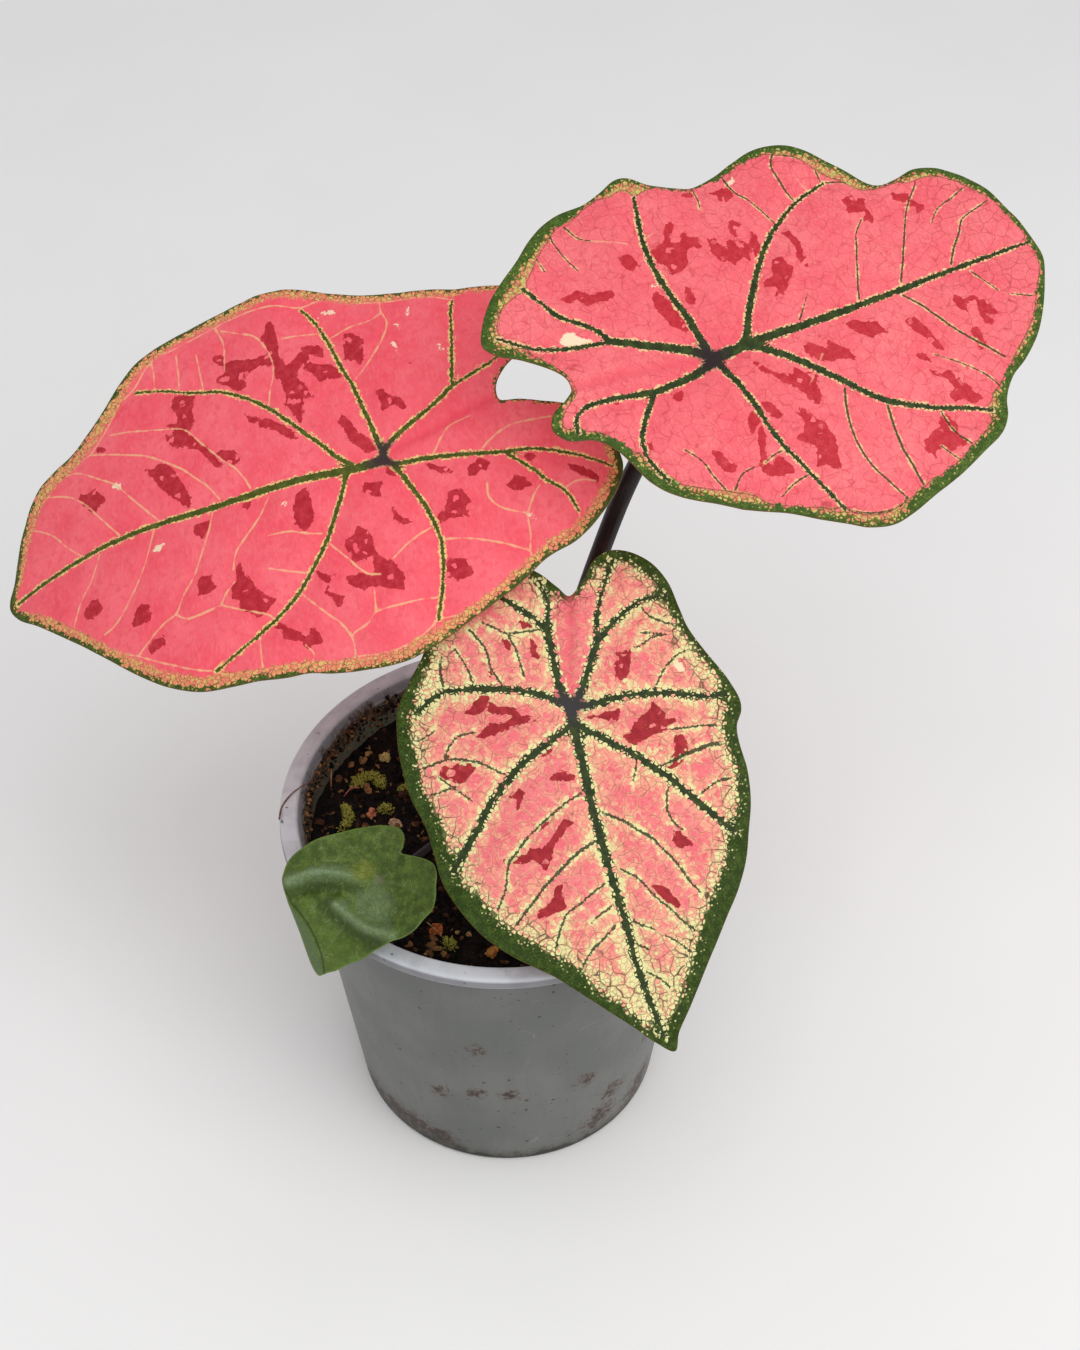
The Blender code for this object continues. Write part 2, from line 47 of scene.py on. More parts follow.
# Pot
POT_HEIGHT = 115.0
RIM_RADIUS = 65.0
RIM_INNER_RADIUS = 60.2
LIP_HEIGHT = 3.5
BODY_TOP_RADIUS = 59.5
BASE_RADIUS = 47.4
WALL = 1.4
BASE_RECESS = 2.6
FOOT_TOP = 2.2
RING_HEIGHT = POT_HEIGHT - 7.0
RING_STEP = 0.6
FOOT_RING_RADIUS = 41.5
CENTRE_PAD_RADIUS = 11.2
DRAIN_HOLES = 6
DRAIN_HOLE_RADIUS = 3.5
DRAIN_CIRCLE_RADIUS = 27.0
DRAIN_HOLE_SEGMENTS = 32
DRILL_LENGTH = 8.0
POT_SEGMENTS = 160
POT_SHARP_ANGLE = 40
OUTER_STEPS = 36
INNER_STEPS = 30
INNER_START = 20.0

# Potting mix
SOIL_LEVEL = 102.0
SOIL_SPACING = 0.75
# Between the mix and the pot's floor and wall at the foot
GAP = 0.3
# Lumps of its top, coarse to fine: (size, seed, height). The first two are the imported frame's.
SOIL_LUMPS = ((26.0, 0.3, 1.3), (9.0, 4.1, 0.65), (2.6, 9.0, 0.9), (1.1, 3.0, 0.45))

# Crumbs: how many, the half width of the smallest, what the largest adds to it, a power that makes large
# ones rare, and how long the longest is for its width
CRUMB_SHAPES = 9
CRUMB_SHARP_ANGLE = 45
CRUMBS, CRUMB_RANGE = 2600, (0.42, 1.0, 3, 1.7)
WALL_CRUMBS, WALL_CRUMB_RANGE = 420, (0.28, 0.5, 2, 1.6)
# Where the crumbs on the wall are: the least, the most and the commonest angle in degrees, then height
WALL_CRUMB_ANGLES = (70, 200, 135)
WALL_CRUMB_HEIGHTS = (SOIL_LEVEL, 112.5, 108.0)

# Moss: leaflets to a tuft, and their half thickness, half width and least and most half length
MOSS_LEAFLETS = 150
LEAFLET_THICKNESS, LEAFLET_WIDTH, LEAFLET_LENGTHS = 0.2, 0.26, (0.3, 0.62)

# Blades: how deep and how wide each kind of relief is
BLADE_THICKNESS = 0.45
VEIN_SINK, VEIN_VALLEY = 0.9, 4.0
SIDE_VEIN_SINK, SIDE_VEIN_VALLEY = 0.3, 2.2
RIB_HEIGHT, RIB_WIDTH, SIDE_RIB_WIDTH = 0.7, 0.7, 0.5
HUB_DIP, HUB_DIP_AREA = 1.4, 60.0
QUILTING, QUILT_SIZE = 0.22, 5.0
RIM_WAVE, RIM_WAVE_SIZE, RIM_WAVE_REACH = 0.5, 9.0, 6.0
CREASE_DEPTH, CREASE_WIDTH = 0.8, 1.6
RIDGE_HEIGHT, RIDGE_WIDTH = 3.0, 1.9
FOLD_SLOPE, FOLD_BOW = 0.55, 2.0
FOLD_GROOVE, FOLD_GROOVE_WIDTH = 0.5, 0.6
SPUR_WIDTH = 1.5
# How far off the underside's pattern is taken, so that it differs from the top's
UNDERSIDE_SHIFT = 40.0

# Pieces of a smooth curve between each two of its points
OUTLINE_PIECES = 12
LINE_PIECES = 4

# How near an outline the inner points of a mesh come, as a share of their spacing
CLEARANCE = 0.6

# Points worked on at a time, and a distance beyond any on a blade
BLOCK = 3000
FAR_AWAY = 50.0

# Pale floor and soft studio light. Lamps are (name, place in metres, size, power, colour).
FLOOR_TONES = ((0.95, 0.95, 0.95, 1.0), (0.93, 0.93, 0.93, 1.0))
WORLD_COLOUR, WORLD_STRENGTH = (0.99, 0.99, 1.0, 1.0), 0.56
LAMP_TARGET = (0.0, 0.0, 0.13)
LAMPS = (
    ("key", (0.25, -0.7, 1.4), 1.6, 10.6, (1.0, 0.99, 0.97)),
    ("fill", (1.1, -0.6, 0.7), 1.0, 3.6, (1.0, 0.99, 0.97)),
)

# Where soil has splashed the pot: (place, reach)
SPLASHES = [
    ((-39, -27, 6), 10),
    ((-34, -34, 9), 9),
    ((-28, -39, 9), 10),
    ((-20, -44, 7), 9),
    ((-18, -48, 38.6), 6),
    ((-7.6, -51.2, 42), 5),
    ((2.9, -51.7, 42), 5),
    ((-6.3, -54.2, 68), 5),
    ((25, -45, 41), 6),
    ((33, -37, 24), 8),
    ((42, -24, 12), 11),
    ((30, -38.6, 14), 9),
    ((43, -27, 40), 6),
    ((-48, -28, 80), 5),
]

# Moss on the mix, as a row of tufts: (x, y, radius)
MOSS = {
    "moss_arch": [(-45, 15.5, 2.0), (-44.5, 19, 2.2), (-41.5, 20.5, 1.7), (-38.5, 19, 2.3), (-37.5, 16, 1.6)],
    "moss_bow": [(-48.5, 8, 1.6), (-46.5, 5, 1.7), (-46, 1.5, 1.9), (-48, -1.5, 1.5)],
    "moss_tuft_1": [(-30, 15, 2.4)],
    "moss_tuft_2": [(-35.5, 6.5, 2.4)],
    "moss_tuft_3": [(-14, -43, 2.4)],
}

# Chips on the mix: (node, place, radius, colour, colour of its darker parts)
CHIPS = [
    ("pumice_chip_1", (-17.5, -38.5), 1.6, (214, 118, 58), (142, 74, 38)),
    ("pumice_chip_2", (-2, -45.5), 1.6, (222, 158, 78), (160, 98, 46)),
    ("pumice_chip_3", (-39.5, 5), 1.5, (222, 140, 104), (150, 84, 60)),
    ("pumice_chip_4", (-37.5, 28.5), 1.6, (226, 206, 130), (176, 146, 84)),
    ("pumice_chip_5", (-32, 1), 1.6, (228, 192, 162), (170, 124, 98)),
]

# Small pale bits among the crumbs: (x, y, radius, tint)
FLECKS = [
    (-8.6, -39.5, 0.9, 1), (-11.8, -38.9, 0.8, 1), (-25, -30, 0.7, 0.97), (4, -41, 0.6, 1),
    (20, -38, 0.7, 0.97), (-43, 30, 0.9, 1), (-28, 24, 0.7, 1), (-20, -47, 0.7, 0.98),
]

FIBRE_SIDES = 8
FIBRE_PIECES = 8
# Dry roots: (route, radius, colour)
FIBRES = [
    (
        [
            (-64.3, -8.9, 115.2), (-64, -4, 115.25), (-61.7, 1, 115.25), (-58.6, 4.9, 114.8),
            (-56.6, 10, 110.5), (-53.5, 17.7, 104.6),
        ],
        0.28, (128, 88, 60),
    ),
    ([(-53.2, 26.9, 104.8), (-52.8, 20, 105.2), (-52.3, 13.7, 104.6)], 0.32, (190, 138, 96)),
    ([(-43.9, 13.9, 104.2), (-46.2, 12.4, 105.4), (-48.2, 9.9, 104.4)], 0.3, (190, 100, 88)),
    ([(-20.4, -36.4, 103.8), (-17.9, -40, 105.2), (-15.9, -41.7, 104.2)], 0.25, (196, 152, 110)),
]


class Leaf:
    """A blade's place and bend."""

    def __init__(self, hub, tilt, lean, heading, droop, lobe_drop, side_drop, reach, wave):
        self.hub = np.array(hub)
        self.droop = droop
        self.lobe_drop = lobe_drop
        self.side_drop = side_drop
        self.reach = reach
        self.wave = wave
        tilt, lean, heading = (math.radians(angle) for angle in (tilt, lean, heading))
        normal = Vector((math.sin(tilt) * math.cos(lean), math.sin(tilt) * math.sin(lean), math.cos(tilt)))
        along = Vector((math.cos(heading), math.sin(heading), 0.0))
        along.z = -(normal.x * along.x + normal.y * along.y) / normal.z
        along.normalize()
        self.normal = np.array(normal)
        self.along = np.array(along)
        self.across = np.array(normal.cross(along))

    def rise(self, t, u):
        """Height over the hub's plane: the tip and the lobes droop, the halves bend, and the margins wave."""
        length, lobe, half = self.reach
        size, wavelength, phase = self.wave
        side = np.where(u > 0, self.side_drop[0], self.side_drop[1])
        edge = np.abs(u) / half
        tip = self.droop * (np.maximum(t, 0.0) / length) ** 2.2
        lobes = self.lobe_drop * (np.maximum(-t, 0.0) / lobe) ** 1.8
        turn = 2 * math.pi * t / wavelength + np.where(u > 0, phase, -phase)
        return size * edge ** 3 * np.sin(turn) - tip - lobes - side * edge ** 2

    def points(self, t, u, lift=0.0):
        """Places in millimetres of points on the blade, raised by lift along its normal."""
        height = self.rise(t, u) + lift - HUB_DIP * np.exp(-(t * t + u * u) / HUB_DIP_AREA)
        return (
            self.hub + np.outer(t, self.along) + np.outer(u, self.across) + np.outer(height, self.normal)
        )


LEAVES = {
    "left": Leaf(
        hub=(-33.3, 37.5, 212.0), tilt=30, lean=-110, heading=-170.2, droop=21, lobe_drop=4,
        side_drop=(5, 5), reach=(100, 60, 50), wave=(0.8, 52, 0.6),
    ),
    "right": Leaf(
        hub=(53.8, 32.9, 250.0), tilt=27, lean=-75, heading=25.9, droop=0, lobe_drop=4,
        side_drop=(5, 5), reach=(90, 60, 50), wave=(1.6, 42, 1.1),
    ),
    "front": Leaf(
        hub=(19.6, -16.7, 172.0), tilt=42, lean=-85, heading=-75.1, droop=4, lobe_drop=5,
        side_drop=(5, 5), reach=(90, 40, 42), wave=(1.0, 46, 0.3),
    ),
    "small": Leaf(
        hub=(-32.6, -42.8, 130.0), tilt=35, lean=-120, heading=-132.2, droop=4, lobe_drop=2,
        side_drop=(-5, -1), reach=(30, 15, 18), wave=(0.0, 30, 0.0),
    ),
}

# Each leaf's drawing, in (t, u), read from the photo. outline runs from the tip round by the left
# side. main and side veins have a half width at each end and a route, and threads are thin pale veins.
# blotches and holes are the crimson marks and the gaps in them, and scuffs are pale marks. band says how
# wide the green edge and the speckles inside it are near a point: (t, u, green, speckles). spur is how far
# the green runs in along a main vein. creases run from the notch to the hub, and ridges are crests. fold is
# the line beyond which the blade bends down, bowed by FOLD_BOW. spacing is the distance between mesh points.
DRAWINGS = {}
DRAWINGS["left"] = {
    "spacing": 0.7,
    "outline": [
        (122, -4.5), (119, 0), (114, 4), (108, 9.5), (100, 17), (92, 25), (84, 33), (77, 39), (70, 43.5),
        (64, 46), (57, 47.5), (50, 48.5), (42, 50), (35, 51), (28, 53.5), (20, 55.5), (12, 57), (4, 56.5),
        (-4, 54), (-12, 51), (-20, 48), (-28, 45), (-36, 41), (-45, 38.5), (-52, 34), (-58, 28.5),
        (-61.5, 22), (-61, 16), (-58, 8), (-54, 2.5), (-50, 0), (-45, -2), (-40, -4), (-35, -5.5),
        (-34.5, -9), (-36.5, -13), (-41, -17), (-50, -20), (-57, -24), (-60, -29.5), (-59, -35),
        (-54, -38.5), (-47, -40), (-40, -41.5), (-32, -43.5), (-23, -46.5), (-14, -49), (-5, -52),
        (3, -55.5), (10, -59), (17, -62), (24, -63.5), (32, -64), (41, -64), (50, -63), (58, -61),
        (65, -58.5), (71, -54.5), (77, -49), (83, -45), (90, -41), (97, -39), (103, -36.5), (108, -32),
        (112, -26), (115.5, -19), (118.5, -12), (121.5, -8),
    ],
    "main": [
        (
            1.19, 0.31,
            [(0, 0.8), (10, 0.9), (25, -1.2), (50, -2.9), (69, -5.5), (87.5, -7), (106, -6.5), (119, -5.6)],
        ),
        (
            0.57, 0.22,
            [
                (9, 1), (11, 2.5), (15, 10), (21.3, 19.4), (31.3, 29.4), (40.6, 34.6), (51.3, 38.6),
                (60, 41.5),
            ],
        ),
        (
            0.57, 0.22,
            [
                (9, -0.5), (12, -3.5), (15, -8.1), (20, -15), (27.5, -25.3), (35, -32.7), (41.3, -37.3),
                (50, -41.3), (58.8, -46), (66.9, -49.4),
            ],
        ),
        (
            0.57, 0.22,
            [(-2.5, 3.8), (-5, 10), (-8.1, 18.8), (-9.4, 26.9), (-8.8, 32.5), (-6.9, 39.4), (-3.1, 48.5)],
        ),
        (
            0.57, 0.22,
            [
                (-0.2, -2), (0.4, -5), (1.5, -12.5), (3.1, -22.5), (5.4, -31), (7.5, -40), (10, -48),
                (13.1, -53.5),
            ],
        ),
        (0.66, 0.44, [(-1, 2), (-3.8, 3.4), (-12.5, 4.8), (-21.3, 6.7), (-32, 9.3)]),
        (0.35, 0.18, [(-32, 9.3), (-40, 10.8), (-46.3, 13.5), (-53.8, 17.8), (-58.8, 21.5)]),
        (0.35, 0.18, [(-32, 9.3), (-37.5, 15.5), (-41.3, 20.6), (-45, 25), (-46.8, 31)]),
        (0.62, 0.44, [(0, -1), (-2.5, -3.3), (-10, -6.9), (-17, -10.3), (-23.1, -14)]),
        (0.35, 0.18, [(-23.1, -14), (-30, -16.3), (-36.3, -18.5), (-44, -24), (-52, -30)]),
        (0.35, 0.18, [(-23.1, -14), (-25, -22.5), (-26.9, -31.3), (-27.8, -37), (-29.3, -41)]),
    ],
    "side": [],
    "threads": [
        [
            (60, 41.5), (57, 44), (53, 46.3), (48, 47.5), (42, 48.8), (36, 49.7), (30, 51.3), (21, 51.5),
            (14, 53.2), (8, 53.2), (3, 52), (-1, 50), (-3, 48.5), (-10, 49), (-17, 47.3), (-24, 45),
            (-30, 42), (-36, 40), (-42, 37), (-46, 34), (-46.8, 31),
        ],
        [
            (60, 41.5), (66, 39), (74, 34), (82, 28.5), (88, 24.5), (94, 20), (98, 16.5), (103, 12),
            (108, 8), (112, 4.5), (116, 0.5),
        ],
        [(31, 30), (29, 33), (25, 38.5), (22.5, 41.5), (21, 45), (20.5, 47.5), (21, 51)],
        [(-4.2, 42.8), (0, 42.3), (6, 42), (12.3, 42), (15, 44), (19.5, 45.3)],
        [(12.3, 42), (11.3, 36)],
        [(8.5, 32.5), (11.5, 31.5), (13.5, 29.5), (16, 25.5), (18, 22.5), (20, 19.5)],
        [(-7.5, 24), (-4, 25.3), (0, 27), (4, 29.5)],
        [(40.3, 34), (42, 32), (48, 28.8), (54, 25.3), (58, 25.2), (64, 25), (67.5, 22.5)],
        [(54, 25.3), (51.5, 22.5), (48.5, 20.5)],
        [(28.5, 25), (33, 23), (38, 20.5)],
        [(21.5, 16), (26, 14.5), (30, 12.5), (36, 11.5)],
        [(33.5, 0.3), (36, 4), (39, 7), (43, 10), (46, 12.5), (48, 17)],
        [
            (50.3, -2), (52.5, 3.5), (55, 7.5), (60, 14.5), (64, 18), (67.5, 22), (72, 23.2), (76, 25),
            (82, 28.5),
        ],
        [(68.8, -4.7), (72, 2), (76, 7.5), (82, 13.5), (87, 17), (91, 18)],
        [(87.5, -5.5), (91, 0.5), (96, 5), (99, 9), (100.5, 11)],
        [(45.5, 37), (46.2, 41), (46.8, 45.5)],
        [(34, 49.5), (32, 47), (33.5, 44)],
        [
            (38, -4.2), (39, -7.5), (41, -11.5), (43.5, -14.5), (46.5, -19), (49.5, -23.5), (54, -30),
            (62, -33.5), (70, -37), (77, -39.5),
        ],
        [
            (47.5, -4.7), (50, -9.5), (53.5, -14), (57, -18.5), (66, -26.5), (72, -30), (77, -32.8),
            (85, -37),
        ],
        [(66.5, -6), (70, -11), (74, -17), (78, -23), (84, -28.5), (90, -33.5), (95, -35)],
        [(80, -8), (84.5, -15), (88.5, -21.5), (93, -26.5), (97.5, -29.5), (101.5, -31.5)],
        [(93.5, -7.8), (98, -13), (101, -17.5), (105, -21.5), (110, -25)],
        [
            (28, -26), (26.5, -30.5), (24.5, -35), (24, -40), (25.5, -46), (28, -50.5), (32, -53.5),
            (38, -58),
        ],
        [(38.5, -43.5), (38, -47), (37.5, -53), (39.5, -60)],
        [(46, -40), (46, -47), (46.3, -53)],
        [(53.2, -44), (52.5, -50), (52.5, -56)],
        [(61, -47), (60, -53), (60.5, -58)],
        [(2, -25.5), (-2, -28.5), (-6, -33), (-8, -35.5), (-10, -40), (-9, -45), (-9.5, -48)],
        [(8, -43.5), (13, -44.5), (20, -45.8)],
        [(7, -41), (0, -42.3), (-6, -42.7), (-9, -44)],
        [(-9.8, 28), (-15, 29.5), (-20, 31.5), (-26, 34.5), (-31.5, 38.5), (-30.5, 41)],
        [(-31.5, 38.5), (-33, 33.5), (-33.5, 29), (-36, 24.5), (-39, 21)],
        [(-33.5, 28), (-28, 25), (-25, 21), (-25.5, 17)],
        [(-26.5, 6.5), (-31, 4), (-36, 2.5), (-42, 2.8), (-46.5, 3.2)],
        [(-13, 4.5), (-17, 0), (-20, -2.5), (-26, -3.5)],
        [(-44.5, 24), (-49, 23), (-53.5, 24.5)],
        [
            (-29.3, -41), (-22, -44.5), (-12, -47), (-3, -50), (6, -54.5), (13.1, -54.5), (22, -58.5),
            (32, -60), (41, -60), (52, -58.5), (60, -57), (66.9, -51), (72, -48), (78, -42), (85, -37),
            (95, -35.5), (101.5, -32), (108, -27), (112, -19),
        ],
    ],
    "blotches": [
        [
            (28.5, 44.8), (33.5, 45), (34.5, 42.5), (38.5, 40.5), (40, 37.5), (40.8, 35.3), (38.8, 35.3),
            (37, 38), (34, 40.2), (32, 42.2), (30.8, 39.8), (29, 41.8),
        ],
        [
            (43.5, 32.2), (45, 32), (45.3, 30.8), (47.5, 29.5), (49, 28), (48.5, 26), (50, 25), (50, 21.8),
            (47.8, 20), (47.5, 16.8), (45.5, 15.6), (45, 19.8), (43, 22.3), (42.6, 25), (40, 27.8),
            (38.4, 29.2), (41, 31.2),
        ],
        [
            (57, 20.8), (59.8, 20.2), (59, 16), (57.5, 15.2), (54.5, 16.3), (55, 18.2), (53.5, 19.2),
            (55, 20.7),
        ],
        [(73.5, 29), (78, 29.5), (78.3, 27.3), (75.8, 26), (73, 26.3), (72.2, 28)],
        [(75, 20.5), (81, 21), (81.5, 18.5), (79.5, 16), (77.2, 15), (75, 16.3), (74.8, 18)],
        [(89.5, 10.8), (92.5, 12.2), (95.5, 11.5), (96.5, 8.8), (94, 7.8), (92.5, 6.8), (90.5, 7.5)],
        [(54.8, 5.3), (57.2, 1.9), (56, 0.2), (51.5, 0.2), (52.8, 3.3)],
        [(40.2, 1.8), (41.5, 1), (41, -0.5), (38.8, -0.3), (39, 1)],
        [
            (25.8, 14.2), (27.8, 11), (27, 6), (25.5, 2.8), (22.8, 2), (21.8, 4), (22.2, 8.3), (22, 11.3),
            (24.5, 13.7),
        ],
        [
            (3.5, 38.8), (6.5, 37.3), (9.5, 35.4), (14.5, 35.2), (18, 32.2), (17.5, 30.4), (14, 30.3),
            (11.8, 31.8), (9.8, 31), (9.8, 27.8), (13, 27), (15.3, 27.3), (15.2, 24), (15.8, 22),
            (15, 20.2), (12.6, 20), (11.2, 17.8), (8.6, 20), (8, 22.5), (8.3, 26), (6.5, 28.5), (4.2, 30.5),
            (3, 33.5), (2, 35),
        ],
        [
            (19.3, 35), (21, 37.2), (22.8, 37.2), (22.6, 34.8), (24.8, 32.5), (23.5, 30.5), (25, 27.5),
            (26.2, 25.2), (25, 25.4), (22.8, 28), (20.8, 28.7), (22.8, 30.3), (22.3, 33), (20.5, 34.5),
        ],
        [(-15.3, 39.8), (-11, 40.3), (-7.5, 38.3), (-8.3, 35.5), (-10, 33.5), (-14.8, 35.5)],
        [
            (-18.7, 24.6), (-15, 23.8), (-9.8, 23.5), (-9.9, 21.5), (-12.5, 20.6), (-15.2, 16.2),
            (-18.3, 16.5), (-19.3, 18.5), (-20.2, 20.8), (-18.5, 21.8),
        ],
        [(-4.8, 21.8), (-1, 21.5), (1, 19.5), (1.2, 16), (0.4, 15.2), (-0.5, 18.5), (-2, 20)],
        [(-34, 21.9), (-32, 21), (-30.2, 19.2), (-33.3, 16.8), (-35.5, 18), (-37.2, 20.8), (-35, 21)],
        [
            (-26, 13.8), (-25, 12.8), (-23.5, 14), (-21.3, 13.6), (-21.5, 10.8), (-23.8, 10), (-24.2, 8.3),
            (-26.5, 9.7), (-28.4, 11),
        ],
        [(-17.4, 11), (-15, 10.8), (-12, 8.6), (-10.5, 6), (-11.5, 6.1), (-14, 8.4), (-16.5, 9)],
        [(3, 11.8), (5, 11), (7.6, 8.5), (6.8, 6.3), (4.5, 6.8), (1.3, 7.2), (2.3, 8.8)],
        [(-2.3, 7.2), (0, 6), (0, 2), (-1.5, 4)],
        [(-39.8, 13.8), (-38, 14), (-36.5, 12.4), (-37.8, 11.3), (-40, 12.4)],
        [(-54, 25), (-50, 22), (-48, 19.5), (-47.5, 17.8), (-49, 18), (-52.5, 20.5), (-54.5, 22.8)],
        [
            (1, -2.2), (4, -2.6), (6.3, -5.2), (8.2, -8), (8.3, -11), (9.6, -14), (7.9, -16), (6.2, -13),
            (5, -9), (2, -6),
        ],
        [
            (-8.8, -10.5), (-6.5, -13.3), (-3, -13), (-3.2, -16), (-2.6, -19.3), (-5, -19.4), (-6, -16.3),
            (-9, -15.2), (-9.6, -12),
        ],
        [(-14.2, -23.8), (-13.2, -24.5), (-14, -25.3)],
        [
            (21.5, -13.4), (23.5, -13.3), (27.5, -18.3), (31, -20.3), (34, -23.3), (34.8, -26.5),
            (31, -23.3), (28, -22.2), (25, -18.8), (21.5, -15),
        ],
        [
            (20, -16.8), (21.3, -21), (23, -24.8), (22.2, -27.5), (22.6, -31.8), (24.2, -34.8),
            (23.7, -37.4), (19, -36.6), (15, -39.6), (14.2, -36), (17.6, -33), (17.8, -31), (15.8, -27.8),
            (15.2, -25.4), (14.3, -23.4), (17.2, -24.6), (18.2, -20.5),
        ],
        [
            (5.5, -27.3), (11.8, -27.6), (12.8, -30), (15.3, -33.2), (15, -40.5), (11, -40.6), (9, -38.3),
            (9.3, -35), (12, -36.8), (13.3, -37.8), (13.4, -34.8), (11, -33.4), (8, -32.6), (5.8, -29.5),
        ],
        [
            (0, -28.8), (0.8, -31), (4, -32.5), (3, -37), (2.4, -40.8), (0.5, -40.3), (-2.4, -37),
            (-2.2, -33.6), (-1.3, -29.6),
        ],
        [
            (20.6, -37), (23.7, -37.4), (24.5, -42), (25, -45.5), (26, -49), (24, -50), (23.5, -52.8),
            (22.6, -53.3), (21.5, -52.5), (21.3, -44.5), (21.5, -41),
        ],
        [
            (33.5, -35), (36, -34.8), (38, -37.5), (42, -41.3), (41, -42), (38, -42.8), (39, -44.5),
            (37.5, -45.6), (34, -45), (32.2, -44), (29.5, -43), (24.5, -42.3), (24.3, -38), (27.5, -39.6),
            (30.5, -38.9), (33.2, -37.3), (32.5, -35.8),
        ],
        [(38.3, -44.5), (40, -45.8), (41.5, -48.5), (40.8, -49.6), (38, -49), (38.1, -46)],
        [(39.5, -12.2), (41.2, -12.2), (43, -14.2), (46, -17.8), (43.8, -18.2), (40, -16.5), (38.8, -14)],
        [
            (44, -13.2), (46.3, -13.3), (48.5, -17.5), (50.5, -21.5), (54, -23), (57.5, -25.5),
            (59.6, -28.2), (59.5, -30.5), (55.5, -30.2), (58.8, -33.2), (57.2, -33.8), (54.6, -32.5),
            (55.4, -36.2), (56.2, -39), (55.2, -42.3), (52, -41.8), (48.6, -39.5), (50, -35), (50, -31),
            (51.5, -28.8), (52.8, -28.2), (50, -24.5), (46, -18.5), (45.2, -15.5),
        ],
        [
            (56.2, -6), (57.5, -6.2), (61.5, -11.5), (64.5, -16), (67.6, -22.8), (65, -22), (63, -23),
            (60.5, -21.5), (58.5, -17.5), (56.3, -11), (55.5, -8),
        ],
        [
            (81.8, -20), (85, -18.8), (86, -17.4), (89, -21.2), (91, -25), (90.2, -26.3), (87.5, -25),
            (84.6, -25), (82.8, -22),
        ],
        [(79, -35.5), (80.6, -34.8), (82.6, -36.9), (81.8, -38), (79.8, -36.8)],
    ],
    "holes": [
        [(12.4, 25.2), (13.7, 25.3), (14.3, 22.6), (13.3, 21.5), (12.4, 22.5)],
        [(5.2, 34), (6.8, 35), (7, 33.8), (5.8, 33.2)],
        [(1.2, -36.3), (1.8, -39.3), (0.4, -38)],
        [(33.3, -38.2), (34.8, -37.8), (34, -40.2), (33, -39.8)],
        [(52, -37.2), (53.2, -37.2), (53.2, -38.2), (52, -38.2)],
    ],
    "scuffs": [
        [(28.3, 4.8), (29.5, 5.4), (30.3, 4.6), (29, 4.1)],
        [(66.5, 1.5), (68.5, 3), (71, 2), (69, 1)],
        [(-35.5, 30.4), (-34.8, 30.6), (-33.2, 28.4), (-34, 28.2)],
        [(-23.5, -25.8), (-22.3, -26.2), (-21.8, -28), (-22.6, -28)],
        [(3.5, -47.5), (5.5, -49.3), (8.5, -49), (7, -50.3), (4.2, -50)],
        [(-16.8, -40.3), (-16, -40.3), (-16.4, -42.6), (-17, -42.4)],
        [(-11.5, -29), (-10.8, -29), (-10.2, -32.8), (-11, -32.6)],
        [(-13, -36.5), (-12.2, -38.5), (-13.4, -38.6)],
        [(77, -20.5), (79, -22.8), (77.8, -23.8), (75.8, -22)],
    ],
    "band": [
        (30, 53, 0.5, 3), (45, 49.5, 1.3, 2.6), (60, 47, 1.3, 3.4), (80, 36, 1.2, 3.2), (100, 17, 1.2, 2.6),
        (112, 6, 1.3, 2.6), (121.5, -5, 2.6, 1), (115, -22, 1.5, 2.6), (108, -32, 0.9, 4),
        (100, -38, 0.7, 4.5), (88, -42, 0.8, 4.5), (78, -48, 1.4, 3.5), (65, -58.5, 1.2, 2.4),
        (50, -63, 1.7, 2), (38, -64, 1.3, 2.6), (20, -62, 0.4, 2.5), (0, -55, 0.3, 2.5), (-20, -47, 0.2, 2),
        (-40, -41, 0.15, 1.5), (-58, -30, 0.9, 2), (-36, -12, 0.3, 0.5), (-45, -2, 0.1, 0.8),
        (-58, 8, 0.8, 1), (-61, 22, 2.4, 2.2), (-55, 31, 1.8, 3), (-45, 38, 1.1, 3.2), (-30, 44, 1.6, 2.2),
        (-15, 50, 0.8, 2.6), (0, 55, 0.9, 3.5), (12, 57, 0.5, 3.4),
    ],
    "creases": [[(-34.5, -6.5), (-24, -5.2), (-12, -2), (-3, -0.6)]],
}
